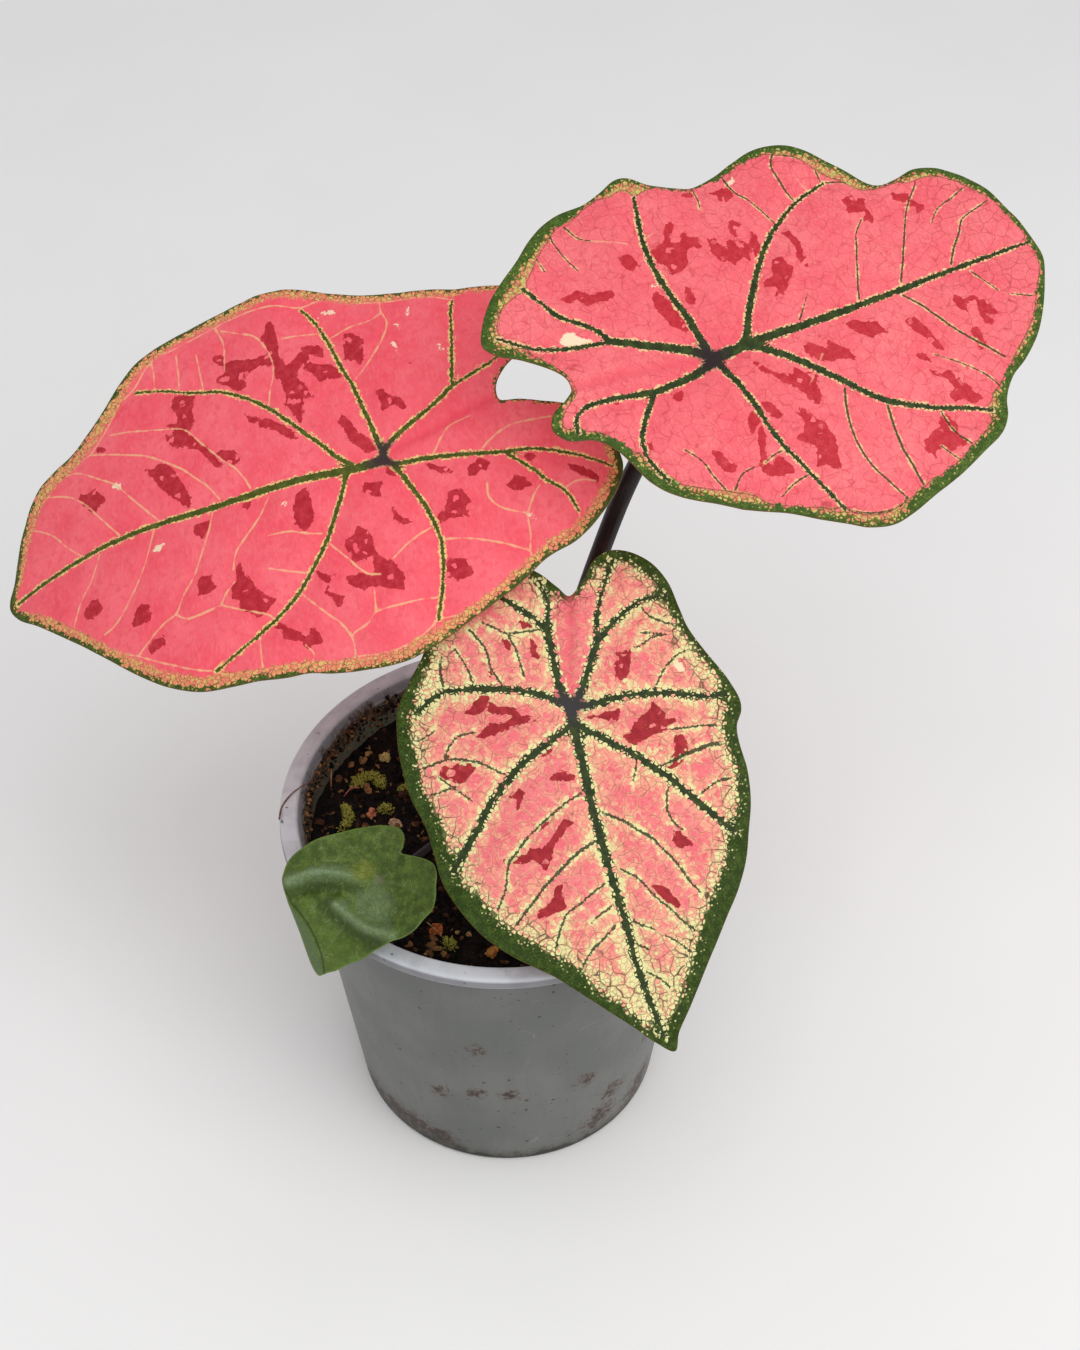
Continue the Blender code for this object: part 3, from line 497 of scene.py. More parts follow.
DRAWINGS["right"] = {
    "spur": 1.4,
    "spacing": 0.62,
    "outline": [
        (96, -1), (95, 5), (93, 12), (91, 18), (87, 24), (82, 28.5), (76, 31), (70, 30), (65, 30),
        (61, 33.5), (57, 40), (52, 46.5), (46, 51), (39, 53), (32, 52), (25, 50), (18, 49), (12, 50.5),
        (7, 53), (3, 56.5), (-1, 57.5), (-6, 56), (-11, 55), (-17, 55.5), (-23, 53.5), (-29, 49.5),
        (-35, 44.5), (-41, 40.5), (-46, 36.5), (-50.5, 31), (-53, 25.5), (-50.5, 21), (-46, 18),
        (-41.5, 13.5), (-38, 9), (-37.5, 5), (-40.5, 2.5), (-44.5, 0.5), (-46.5, -3.5), (-44, -7.5),
        (-38, -10), (-34, -14.5), (-31.5, -20), (-29, -26), (-24, -32), (-17, -36.5), (-9, -41), (0, -45),
        (7, -49.5), (13, -53.5), (18.5, -57), (25, -58), (32, -56.5), (40, -54), (48, -52), (56, -49),
        (62, -46.5), (66, -42.5), (68, -38), (72, -33.5), (78, -30), (84, -25), (89, -18.5), (93, -11.5),
        (95.5, -6),
    ],
    "main": [
        (1.42, 0.26, [(0, -0.4), (12, -0.3), (25, -0.6), (40, -0.8), (60, -0.6), (80, -0.3), (95, -0.4)]),
        (
            0.97, 0.23,
            [
                (9, 0), (11.3, 2.8), (15, 8.8), (21.3, 17.2), (28.1, 24.8), (35, 30), (41.9, 33.6),
                (51.3, 36.4),
            ],
        ),
        (
            1.05, 0.3,
            [
                (9, -0.5), (12.5, -2.3), (20, -8.8), (28.8, -18.3), (36.3, -26.3), (46.3, -32.3),
                (56.3, -36.8), (62.5, -39.5),
            ],
        ),
        (
            0.9, 0.26,
            [(-0.3, 2.5), (-1.3, 12.5), (-2.8, 22.5), (-2.7, 32.5), (-1.3, 40), (0.3, 45.5), (1.9, 51)],
        ),
        (0.75, 0.26, [(0.8, -2), (2, -6), (4.2, -15), (5.6, -25), (8.6, -34), (11.4, -41.5), (14.4, -50)]),
        (1.2, 0.83, [(-1, 1.2), (-4, 3.2), (-10, 6.4), (-16, 9.7), (-22.5, 13.5)]),
        (0.6, 0.26, [(-22.5, 13.5), (-25.5, 19.3), (-31.5, 25.2), (-34, 30.5), (-36.6, 36.5)]),
        (0.52, 0.23, [(-22.5, 13.5), (-28.8, 14.6), (-36.3, 16.9), (-42.5, 20.2), (-48.5, 26)]),
        (1.05, 0.75, [(-1, -1.4), (-5, -2.9), (-11, -3.6), (-18.3, -3.9)]),
        (0.68, 0.3, [(-18.3, -3.9), (-27.5, -1.7), (-35, -0.8), (-39.5, -2.6), (-40.8, -6.3)]),
        (0.6, 0.26, [(-18.3, -3.9), (-22.5, -8.5), (-25.8, -12.8), (-27.3, -17), (-27, -21.3), (-25, -27)]),
    ],
    "side": [
        (0.23, 0.08, [(43.5, 1), (45, 5), (47.5, 10.5), (50.3, 16), (51.5, 18.5), (55, 22)]),
        (
            0.23, 0.1,
            [(56.3, 1.5), (59, 6), (62.5, 12), (65, 16), (67, 19), (70, 22.8), (73, 25.5), (74.5, 27.5)],
        ),
        (0.23, 0.1, [(71.5, 1.3), (74, 5), (77.5, 8.5), (80, 11.8), (83, 13), (87, 14), (89.5, 14.8)]),
        (0.08, 0.13, [(72, 14), (76, 17.5), (81, 19), (85, 20.5)]),
        (0.2, 0.03, [(26, 1.2), (28.5, 4), (31, 7)]),
        (0.16, 0.2, [(41.5, 33.8), (40.5, 37.5), (40.3, 42), (40.5, 46.5), (42.5, 49.5)]),
        (0.07, 0.2, [(33.5, 29.5), (31.5, 35), (30, 39.5), (28.5, 42), (27.7, 45.5), (27.7, 49)]),
        (0.07, 0.16, [(17, 41.5), (18, 45), (18.3, 48.8)]),
        (0.16, 0.2, [(51, 36.5), (51, 40), (51, 43.5), (47.5, 46.5), (42.5, 49.5)]),
        (0.2, 0.13, [(51, 36.8), (55, 35.3), (59, 32.5), (63.5, 30.4)]),
        (0.08, 0.2, [(-14, 43.5), (-16.5, 45.8), (-17.3, 48.5), (-18, 51)]),
        (0.08, 0.16, [(-21.2, 36), (-22.5, 41), (-23, 46), (-23, 49)]),
        (0.07, 0.13, [(-29.3, 39), (-29.7, 44.5)]),
        (
            0.23, 0.23,
            [(55, -2.3), (58, -7), (60.5, -11.5), (63.5, -16.5), (66.5, -20.5), (69.5, -24), (72.5, -27.8)],
        ),
        (0.07, 0.13, [(54.5, -20.5), (57, -22.5), (60, -25), (63.5, -28.5), (65.5, -31), (67.5, -34.5)]),
        (
            0.29, 0.2,
            [(28.5, -20.5), (26.5, -25), (25.2, -30), (24.8, -36), (26, -42), (28.5, -47), (31.5, -52)],
        ),
        (0.29, 0.26, [(37.5, -28), (36.3, -34), (36, -40), (36.8, -45), (37.7, -50.5)]),
        (0.16, 0.16, [(50, -34), (50, -38), (51, -42), (53.5, -46)]),
        (0.1, 0.16, [(46, -43.5), (49, -48.5)]),
        (0.16, 0.1, [(75.5, -2.5), (77.5, -7), (79.5, -10.5)]),
        (0.07, 0.16, [(82.5, -12.5), (87.5, -15)]),
        (0.2, 0.08, [(10.5, -38), (5, -39), (0.5, -41)]),
        (0.2, 0.08, [(7, -29.8), (3, -30.3), (0, -31.5)]),
        (0.08, 0.23, [(-3, -31.5), (-7, -32.2), (-10, -35), (-12, -36.5)]),
        (0.1, 0.2, [(-18, -21), (-15, -25.5), (-14, -30), (-12, -35.5), (-10, -40)]),
        (0.2, 0.2, [(14.5, -50), (18, -52.5), (22, -54), (28, -54.2), (32, -52.5)]),
    ],
    "threads": [
        [(-14, 43.5), (-9, 40.5), (-6, 38.5)],
        [(-0.9, 38.3), (2, 38.7)],
        [(46.5, 35), (45.3, 38), (45, 40)],
        [(31.5, 35), (33, 31.5)],
        [(20, -16.5), (24, -13), (27, -10)],
    ],
    "blotches": [
        [
            (-1.8, 34), (0, 34.3), (2.5, 35), (4, 37.5), (6, 40.5), (7.8, 40), (7, 38), (5.5, 36.5),
            (4.5, 34.3), (6.5, 33), (8, 35.2), (9.3, 35.5), (9.8, 34), (11.5, 33), (11.3, 29.5), (10, 29.6),
            (9.2, 31), (7.3, 30.5), (6.3, 28), (5.5, 26.3), (3, 25.2), (0.3, 25.4), (0.3, 28.5),
            (-1.3, 29.5), (-1.5, 32),
        ],
        [
            (14, 31.5), (15.8, 31.2), (16.5, 28.8), (17.5, 27), (18, 29.3), (19.8, 29.3), (20.2, 26.5),
            (22, 26), (21, 29.5), (20.7, 33), (22, 34.8), (23.3, 34.6), (24.7, 32.7), (22.2, 31),
            (21.8, 28.5), (23, 26.7), (24.7, 27), (26, 30), (26.8, 28), (26.5, 25), (25, 22.5),
            (23.5, 22.3), (24, 24.8), (22.5, 23.8), (21.5, 21.2), (20.8, 23), (19.5, 23.2), (17, 21.5),
            (16, 24), (14.6, 23.5), (13.6, 25.5), (12.9, 28),
        ],
        [
            (27.3, 20.8), (27, 19.7), (30, 19.6), (30.2, 17), (31, 15.6), (30, 13.5), (27.5, 11.5),
            (25.5, 9.5), (24.8, 7.5), (24, 10), (22.5, 8), (23, 10), (24.5, 12), (21.5, 13), (22, 14.6),
            (25, 15), (26, 17.5),
        ],
        [
            (33.5, 26.2), (35.5, 26.3), (35.8, 24), (36.4, 21.8), (35.5, 19.5), (35.3, 16), (34.5, 13.2),
            (33.6, 15.5), (33, 17.3), (34.2, 20), (34.3, 23),
        ],
        [
            (52.8, 29.3), (56, 29.8), (54.8, 27.3), (57.5, 28.3), (58.8, 27), (58, 24.5), (58.3, 22.2),
            (58, 20.3), (57, 19.5), (56.3, 20.8), (54.8, 21.2), (57, 22.8), (56.8, 23.8), (54.5, 24.5),
            (52.2, 25), (53, 27),
        ],
        [
            (65.7, 24.8), (66.7, 26.3), (69, 25.3), (71, 24.8), (70.5, 23), (71.5, 20.5), (73, 19.8),
            (72, 18.5), (69.5, 17.8), (70.3, 20), (69, 21), (69.8, 22.7), (68, 22.6),
        ],
        [(21.5, 45.3), (27, 45.7), (28.3, 43.5), (26.5, 41.5), (24.5, 40.8), (23, 42), (23, 44)],
        [(13, 47), (15.5, 47.6), (18, 47.2), (17.5, 45.9), (15.5, 46.3)],
        [(-10.5, 35.7), (-7, 35.3), (-6.3, 33.5), (-6, 31), (-8.8, 30.3), (-10, 32), (-10.3, 34)],
        [
            (-29.2, 29.8), (-26.5, 29.8), (-24.5, 30.8), (-23, 29.5), (-22.3, 28.3), (-20, 27.7),
            (-16, 27.2), (-15.8, 25), (-18, 24.3), (-21, 25), (-23.8, 25.2), (-25, 27.8), (-28, 27.5),
        ],
        [
            (-6.5, 22.8), (-4.5, 21), (-3.3, 18), (-2.5, 13), (-2, 9.7), (-3, 8.4), (-5.5, 10.3), (-7, 12),
            (-7.2, 15), (-8.3, 18),
        ],
        [(0, 16.8), (1.5, 19), (2.4, 21.5), (2.8, 18.8), (3.2, 16), (2, 14.8), (0.8, 15.5)],
        [
            (8, -4), (10, -6.3), (12, -9.3), (14, -11.2), (16.8, -12.3), (18.3, -10.3), (20.5, -13),
            (23.8, -14.2), (22, -17), (21.5, -20), (20, -22.6), (18.5, -21.5), (17.2, -18), (15.5, -15.5),
            (13.3, -13.8), (11.8, -11), (9.8, -9.2), (9, -6.5),
        ],
        [
            (22.7, -6.5), (25, -6.2), (28.5, -9), (30, -7), (31, -9), (34, -11.8), (34.7, -14.8),
            (32, -13.6), (28, -12.5), (25, -11), (23.5, -8.7),
        ],
        [
            (36, -4.2), (39, -4), (41, -5.6), (44.5, -6.7), (45, -9), (46.2, -11.4), (43.5, -10.4),
            (41, -11), (39, -9), (36.8, -6.3),
        ],
        [
            (51.5, -9.3), (54, -8.8), (56, -13), (57.3, -17), (57.6, -20.5), (55.8, -19.2), (54.5, -15.5),
            (52.5, -12.5),
        ],
        [(49.5, -18.8), (52, -19.3), (53, -20.8), (54, -23.5), (52, -22), (50, -20.3)],
        [
            (51.3, -24.2), (54.3, -26.3), (56.3, -25.7), (57.5, -28), (58.5, -30.3), (60, -33), (61.8, -36),
            (59, -36.8), (57, -34.5), (54.5, -34.3), (53.5, -31.8), (56, -31.3), (54.8, -28), (52, -25.8),
        ],
        [
            (66, -8.5), (67.5, -7.5), (69.3, -9.2), (72, -9.5), (74.5, -12), (76.8, -17), (75, -16.5),
            (72.5, -15), (74, -17.8), (73.5, -19), (71.5, -17.5), (71.5, -13.5), (72, -11), (69, -10.5),
            (68.5, -13.3), (67, -11.5),
        ],
        [(66.5, -18), (68, -17.5), (69.4, -18.5), (69.2, -21.5), (69.4, -23), (67.3, -24), (66.8, -21.8)],
        [
            (42, -40.8), (45, -39.5), (47.5, -38.5), (48.5, -36.8), (50.5, -36), (51.8, -39.5), (51.5, -43),
            (53.5, -46), (50, -45.5), (48, -46), (46, -44), (44, -44.3), (43.5, -46.2), (42.5, -44.5),
            (41.4, -43),
        ],
        [
            (12.5, -21.5), (13.7, -22.8), (15.3, -20.5), (15.5, -23.5), (17.5, -25.5), (19, -27.5),
            (19.8, -31.5), (19.3, -34.7), (18.5, -35.5), (17.8, -39.8), (15.8, -39.7), (14.5, -37.5),
            (12, -37.3), (13.5, -34.5), (14, -32.5), (12, -30.5), (10.3, -28.5), (12.8, -27.8), (14, -25),
        ],
        [(6, -16), (8, -17.3), (10, -21.8), (8, -22.3), (6.8, -20.5), (6, -18.5)],
        [(1.3, -18.5), (4, -17.3), (4, -21), (2, -22), (0, -23.6), (0, -20.5)],
        [
            (1, -24.5), (3.5, -22), (3.6, -24.6), (2, -28), (0.8, -31.5), (-1.2, -34.8), (-1.7, -31.7),
            (0, -28),
        ],
        [
            (-0.5, -30.8), (2, -33), (3, -31), (4.7, -30.7), (5.5, -33), (6.7, -34.8), (6.3, -36.8),
            (3, -36.2), (0.5, -35.6), (-1.5, -34),
        ],
        [
            (-11.7, -24), (-9.8, -24.8), (-8.7, -28.3), (-7.3, -29.3), (-8, -31), (-11.5, -30.2),
            (-11.9, -27),
        ],
        [(-14.5, -6.2), (-11, -5.7), (-12, -8), (-13.5, -8.8), (-14.8, -7.8)],
        [(-29.5, -2.6), (-27.8, -2.7), (-28.4, -3.6)],
        [(-26, -15.5), (-24.8, -16), (-25.2, -18.3), (-26.5, -17.5)],
    ],
    "holes": [[(1.5, 31.8), (2.5, 33), (4.3, 32.2), (3, 31.3)]],
    "scuffs": [
        [
            (-34.6, 17.5), (-34, 19.5), (-32, 19.9), (-30.5, 19.3), (-29.3, 17.5), (-26.5, 15),
            (-28.5, 14.3), (-31, 15.4), (-33.5, 16.6),
        ],
        [(-6, 24.3), (-4.5, 24.3), (-4.3, 23.2)],
        [(27.6, 46.8), (30, 47.6), (29.5, 46), (28, 45.8)],
    ],
    "band": [
        (-17, 55, 3.2, 0.5), (-30, 49, 2.5, 2), (-40, 40, 2, 3.6), (-48, 34, 2.6, 1.2), (-52, 27, 2.2, 2),
        (-50, 21, 1.8, 1.5), (-43, 15, 0.9, 1), (-38, 8, 0.3, 0.4), (-38, 3, 0.4, 1), (-46, -3, 1.8, 1.2),
        (-40, -9, 2, 0.4), (-34, -14, 2, 0.3), (-30, -22, 1.8, 1.5), (-27, -29, 2.6, 0.8),
        (-20, -35, 2, 1.6), (-12, -39, 1.3, 2.8), (0, -45, 1.5, 0.3), (10, -51, 1.2, 1.8),
        (18, -56.5, 0.8, 2.6), (27, -58, 1, 2.6), (36, -55.5, 3, 0.6), (50, -51.5, 2.8, 0.4),
        (62, -47, 3.2, 0.6), (67, -41, 2.4, 2.2), (72, -34, 1.7, 0.6), (80, -29, 1.9, 1.3),
        (90, -18, 1.5, 0.8), (95, -8, 1, 0.6), (96, 0, 0.8, 0.4), (93, 12, 1.1, 0.3), (89, 22, 2.2, 0.4),
        (83, 28, 1.6, 1.2), (75, 31, 0.8, 2.6), (67, 30, 0.5, 0.4), (60, 35, 0.4, 3), (55, 43, 0.8, 3.6),
        (47, 50, 1.4, 1.8), (38, 53, 2, 0.4), (30, 51.5, 1.4, 0.3), (20, 49, 0.35, 0.2), (10, 51, 0.3, 0.3),
        (4, 56, 0.4, 3.4), (-2, 57.5, 0.8, 2.6), (-9, 55, 0.5, 0.8),
    ],
    "creases": [[(-37, 5.5), (-26, 4), (-14, 2), (-4, 0)]],
}
DRAWINGS["front"] = {
    "spur": 2.8,
    "spacing": 0.52,
    "outline": [
        (95, 11), (90, 13), (84, 17), (77, 21.5), (70, 26), (63, 30.5), (56, 35), (49, 38.5), (41, 41),
        (33, 43), (25, 43.5), (18, 42.5), (13, 42.5), (9, 44.5), (5, 44.5), (-1, 42), (-8, 38), (-15, 34.5),
        (-21, 33), (-28, 31.5), (-34, 28), (-38, 23), (-39.5, 17.5), (-37.5, 12.5), (-33, 9), (-29, 4.5),
        (-32, 1.5), (-36.5, -2.5), (-40, -8), (-41.5, -14), (-40, -20), (-37, -26), (-32, -31),
        (-26, -34.5), (-20, -37), (-14, -41.5), (-7, -46), (1, -47.5), (9, -47.5), (17, -46.5), (25, -44),
        (33, -43), (41, -42), (49, -38.5), (56, -34), (62, -28), (66.5, -22), (70, -17), (75, -11.5),
        (81, -5), (87, 1.5), (92, 6.5),
    ],
    "main": [
        (
            1.15, 0.36,
            [
                (0, -0.8), (7.8, -0.5), (21, 0), (35.6, 1.1), (50, 2.8), (61, 4), (72, 5), (81, 6.8),
                (90, 8.6),
            ],
        ),
        (
            0.72, 0.5,
            [
                (5, 0), (7.2, 2.2), (11.7, 8.6), (17.8, 16.2), (25, 23.6), (32.2, 29.6), (37.2, 34.2),
                (40.5, 37.2),
            ],
        ),
        (
            0.72, 0.58,
            [
                (5, -1), (6.4, -3.3), (10.6, -11.7), (16.1, -20), (23.3, -27), (30, -32), (34, -35.5),
                (37.5, -38.5),
            ],
        ),
        (
            0.72, 0.32,
            [(0, 1), (0.7, 4), (0, 11.7), (0.3, 20.6), (1.7, 28.3), (3.5, 34.5), (4, 39), (4.6, 41.5)],
        ),
        (
            0.72, 0.32,
            [(-1, -2), (-2.4, -5), (-6.1, -12.5), (-8, -20.5), (-9.4, -30.6), (-8.3, -36.5), (-5.5, -40.5)],
        ),
        (0.86, 0.65, [(0, 0), (-2.2, 2.2), (-7.8, 5.3), (-15.6, 9.6)]),
        (0.5, 0.25, [(-15.6, 9.6), (-22.2, 10.6), (-30, 13.8), (-36.5, 17.5)]),
        (0.5, 0.29, [(-15.6, 9.6), (-20, 15), (-24, 21), (-25, 26.5), (-25.3, 30)]),
        (0.86, 0.58, [(-1, -1), (-4.5, -2.6), (-12, -2.9), (-21, -3)]),
        (0.5, 0.22, [(-21, -3), (-28, -1.7), (-34.5, -2.9)]),
        (0.5, 0.22, [(-21, -3.3), (-26, -7.6), (-30, -11.7), (-35, -17)]),
    ],
    "side": [
        (
            0.3, 0.15,
            [
                (29.3, 2.5), (31, 5.5), (33, 8.5), (35, 10.5), (38, 14.3), (41, 16.5), (44, 18.8), (48, 21),
                (52, 23), (54.5, 24.8),
            ],
        ),
        (0.15, 0.18, [(45, 5), (47.5, 8.5), (50, 10.5), (54, 13), (58, 16.5), (62, 19.5), (64.5, 22)]),
        (0.27, 0.09, [(58.5, 5.5), (60.5, 8), (62, 11)]),
        (0.21, 0.09, [(65, 5.5), (67, 8.5)]),
        (0.09, 0.18, [(64.3, 13.7), (67, 17), (70, 19.8)]),
        (0.18, 0.12, [(72.5, 6.5), (75, 10), (78, 12.5)]),
        (0.18, 0.15, [(24.3, 22.2), (28, 20.5), (32, 20), (35, 21), (37.5, 23)]),
        (0.12, 0.18, [(29, 29.8), (27.8, 32), (26.5, 35.5), (26.5, 38)]),
        (0.12, 0.06, [(15.5, 15), (19.5, 13.5), (22.5, 12.4)]),
        (0.12, 0.48, [(20, 20), (19, 24), (17.8, 28), (17.2, 32)]),
        (0.48, 0.3, [(17.2, 32), (16.6, 35), (17, 38)]),
        (0.06, 0.18, [(10.8, 24.5), (11, 29), (11.2, 33), (12, 37.5)]),
        (0.09, 0.12, [(0, 22), (-3, 24), (-6, 26.5), (-8.5, 30), (-9.5, 33.5)]),
        (0.15, 0.07, [(-14.5, 28), (-14.2, 24), (-12.5, 20.5), (-12.5, 19)]),
        (0.15, 0.12, [(-24, 22), (-20, 24.7), (-18, 27.8), (-16.5, 31)]),
        (0.07, 0.07, [(-16, 21.5), (-15.5, 24), (-14.8, 27)]),
        (
            0.18, 0.12,
            [(23.5, -2), (25, -6), (27, -9.5), (30, -14.5), (33, -18.5), (36, -21.5), (37.5, -23.5)],
        ),
        (0.15, 0.18, [(37.5, -23.5), (41, -24.8), (45, -26), (48.5, -28), (50.5, -29.5)]),
        (
            0.3, 0.24,
            [
                (36.5, -0.5), (38, -4), (40, -7.5), (42.5, -11), (45.5, -15), (49, -18.8), (52, -22),
                (54.5, -24.5),
            ],
        ),
        (0.15, 0.18, [(48, 0.5), (50, -4), (52, -7), (54, -11), (57.5, -13.3), (61, -15), (63, -15.8)]),
        (0.18, 0.18, [(59.5, 1), (62, -2.5), (65, -6.5), (68.5, -9.5)]),
        (0.09, 0.06, [(54, 1.5), (56, -3), (57.5, -5)]),
        (
            0.18, 0.18,
            [(15, -21), (12.5, -24.5), (10.5, -27.5), (9.3, -31), (8.5, -35), (9, -38.5), (9.8, -42)],
        ),
        (0.18, 0.09, [(8.5, -36), (5, -34), (2.8, -31), (2.7, -26.5)]),
        (0.06, 0.15, [(0.3, -37), (1.5, -40), (2.3, -43)]),
        (0.18, 0.12, [(20.5, -30.5), (18, -33), (15, -36), (12.5, -38.5)]),
        (0.12, 0.18, [(16, -34.5), (16.7, -38.5), (17, -41)]),
        (0.18, 0.18, [(-7.5, -17), (-13, -19.5), (-19, -20.3), (-24.5, -23.5)]),
        (0.18, 0.12, [(-9, -24.8), (-15, -26), (-20.5, -28.5)]),
        (0.3, 0.3, [(-9.5, -33), (-15, -33), (-20, -32)]),
        (0.21, 0.12, [(-21.5, -5), (-21.5, -9), (-22, -14), (-24, -17), (-26, -20)]),
        (0.12, 0.18, [(-10, -11.5), (-17, -12.3), (-21, -13.5)]),
    ],
    "threads": [],
    "blotches": [
        [
            (8, 26.3), (9, 26.4), (10, 23.5), (11, 24.5), (11, 21), (11.5, 18.8), (13, 16), (13.2, 14),
            (12, 12.5), (10.3, 11.6), (9.8, 13.8), (7.8, 14.5), (6.5, 17), (5, 19.5), (4, 20.5),
            (2.5, 20.5), (2.8, 21.8), (4, 22), (6, 24), (7.8, 23.5),
        ],
        [
            (12.8, 27.5), (15.5, 28.3), (18, 28.8), (19, 27), (20.5, 25.5), (21.3, 23), (20.3, 21.2),
            (18.5, 23), (17, 24.5), (14.5, 24.8), (12.8, 25.5),
        ],
        [
            (3, 12), (4.6, 12.1), (5.9, 10.8), (6, 9), (4.8, 7), (4.4, 5), (4.5, 3.3), (3.3, 3.5),
            (3.2, 4.8), (3.9, 6.2), (3, 8.3), (3.3, 10.2),
        ],
        [
            (-13, 19.5), (-11.8, 18.8), (-10.5, 17.5), (-7.5, 17), (-5, 15.5), (-4.8, 14), (-3.5, 13.7),
            (-4.2, 13.3), (-5.8, 12.4), (-8.5, 12.5), (-9.8, 14), (-11.8, 13.8), (-11.7, 16),
        ],
        [
            (40.5, 24.5), (42, 25), (42.3, 21.5), (41, 19.3), (39, 20.5), (36.8, 20.8), (37, 22.3),
            (39, 22.8),
        ],
        [(57, 19), (57.8, 18.4), (56.8, 16), (54, 14.2), (52, 13), (50.2, 11.6), (51, 14.5), (52.5, 16.5)],
        [(18.5, -2.5), (19.8, -3), (19.3, -6), (18.5, -9.5), (17, -8.3), (16.6, -6), (17.8, -4)],
        [
            (29, -7.5), (30.8, -5.2), (32, -7.8), (33.5, -8.8), (34.7, -10.5), (37, -12), (39, -12.5),
            (42, -14.7), (39.5, -16.3), (38.3, -17.5), (39, -20), (38.5, -22.5), (38.3, -25.5), (37, -25),
            (36.5, -22.8), (37, -19), (35.3, -17.5), (36, -14.5), (33.7, -12), (31.5, -9.5),
        ],
        [(28.3, -11.3), (30, -11.8), (31.5, -14.3), (30.8, -15), (29.3, -12.8)],
        [
            (19.2, -18), (20.3, -16.3), (21.8, -17), (23, -17.7), (24.8, -19.5), (22, -19), (21, -21),
            (20.3, -19),
        ],
        [
            (45.5, -10.5), (48, -11.5), (50.5, -11.2), (52.8, -11), (53, -14), (54, -16.8), (54.3, -19),
            (52.5, -19.2), (51.2, -16.2), (49, -13.8), (47, -13),
        ],
        [
            (11, -28), (13, -29), (15, -31.5), (15.5, -34), (14, -35.5), (13.5, -38), (12, -38.2),
            (10, -36.5), (10.8, -34.5), (9.7, -33), (10.2, -30),
        ],
        [
            (2.6, -10), (2.3, -13.5), (3, -17), (3.8, -20.5), (5, -25), (3.8, -27), (2.5, -24.5),
            (1, -22.5), (1.5, -18.5), (0.3, -15.5), (-0.8, -17.5), (-0.7, -20), (-2.5, -22.5), (-5, -21.5),
            (-3, -19.5), (-2.5, -17), (-1.5, -15), (0.5, -14), (0.5, -12.5),
        ],
        [(-7.3, -21.5), (-5.5, -21.3), (-2.8, -23), (-1.7, -26), (-3, -29), (-4, -27), (-6.5, -24)],
        [(-25, -8.5), (-23, -6.8), (-21.3, -7), (-21.8, -9.5), (-24.5, -10)],
        [(-19.5, -8), (-17, -6.3), (-16, -7.5), (-14, -6), (-13.5, -6.5), (-14.8, -8.8), (-17.5, -8.3)],
        [(-21, -14.8), (-19, -13.2), (-17, -13.8), (-18, -15), (-20, -15.7)],
        [(-14.5, -20), (-12, -19.3), (-10.3, -20.3), (-11.5, -20.8)],
        [(7, -35), (8, -33.7), (8.5, -35.3), (7.5, -35.8)],
        [(10, -7.5), (11.3, -7.2), (12.3, -9.5), (12.2, -12), (11, -10)],
        [(21.8, 20), (23.5, 20.5), (22, 19.2)],
    ],
    "holes": [
        [(8.5, 20.5), (9.5, 20.5), (9.3, 18), (8.7, 18.3)],
        [(-10.9, 17), (-11, 15.2), (-10.3, 15.5)],
        [(-8.4, 14.8), (-7, 15), (-7.8, 13.8)],
        [(11, -34.5), (12, -33.6), (13.2, -34.4), (13, -35.8), (11.8, -36.3), (10.9, -35.6)],
    ],
    "scuffs": [[(-7, 29.8), (-5.5, 30.6), (-4.2, 31), (-4.4, 29.5), (-6, 28.4)]],
    "band": [
        (7, 44.5, 3.6, 1), (15, 42, 2.8, 2), (25, 43.5, 2.5, 2.5), (35, 42.5, 3, 1.6), (45, 40, 5, 1.4),
        (55, 35.5, 5.6, 1), (65, 29.5, 5.2, 1), (75, 23, 3.6, 2), (85, 16.5, 3, 3), (95, 11, 4.5, 1.5),
        (90, 4, 1.6, 3), (80, -5.5, 2.6, 2.2), (70, -17, 4.6, 2), (62, -28, 5.6, 1.5), (50, -38, 5.6, 2),
        (40, -42, 4.4, 3), (30, -43.5, 3.4, 2), (20, -46, 3.8, 1), (5, -47.7, 3.8, 1), (-7, -46, 3, 3),
        (-14, -41.5, 2.2, 4), (-20, -37, 2, 3), (-32, -31, 3, 2), (-41, -15, 3, 2), (-36, -2, 1.5, 1),
        (-29, 4.5, 0.8, 0.5), (-34, 9.5, 1, 0.8), (-39, 16, 1.5, 1.6), (-36, 26, 2.8, 1.6),
        (-28, 31.5, 2.5, 1.5), (-20, 33, 2, 1), (-12, 35.5, 1.3, 2), (-4, 40.5, 1.3, 3),
    ],
    "creases": [[(-28.5, 4.5), (-18, 2.5), (-9, 0.8), (-3, 0.4)]],
}
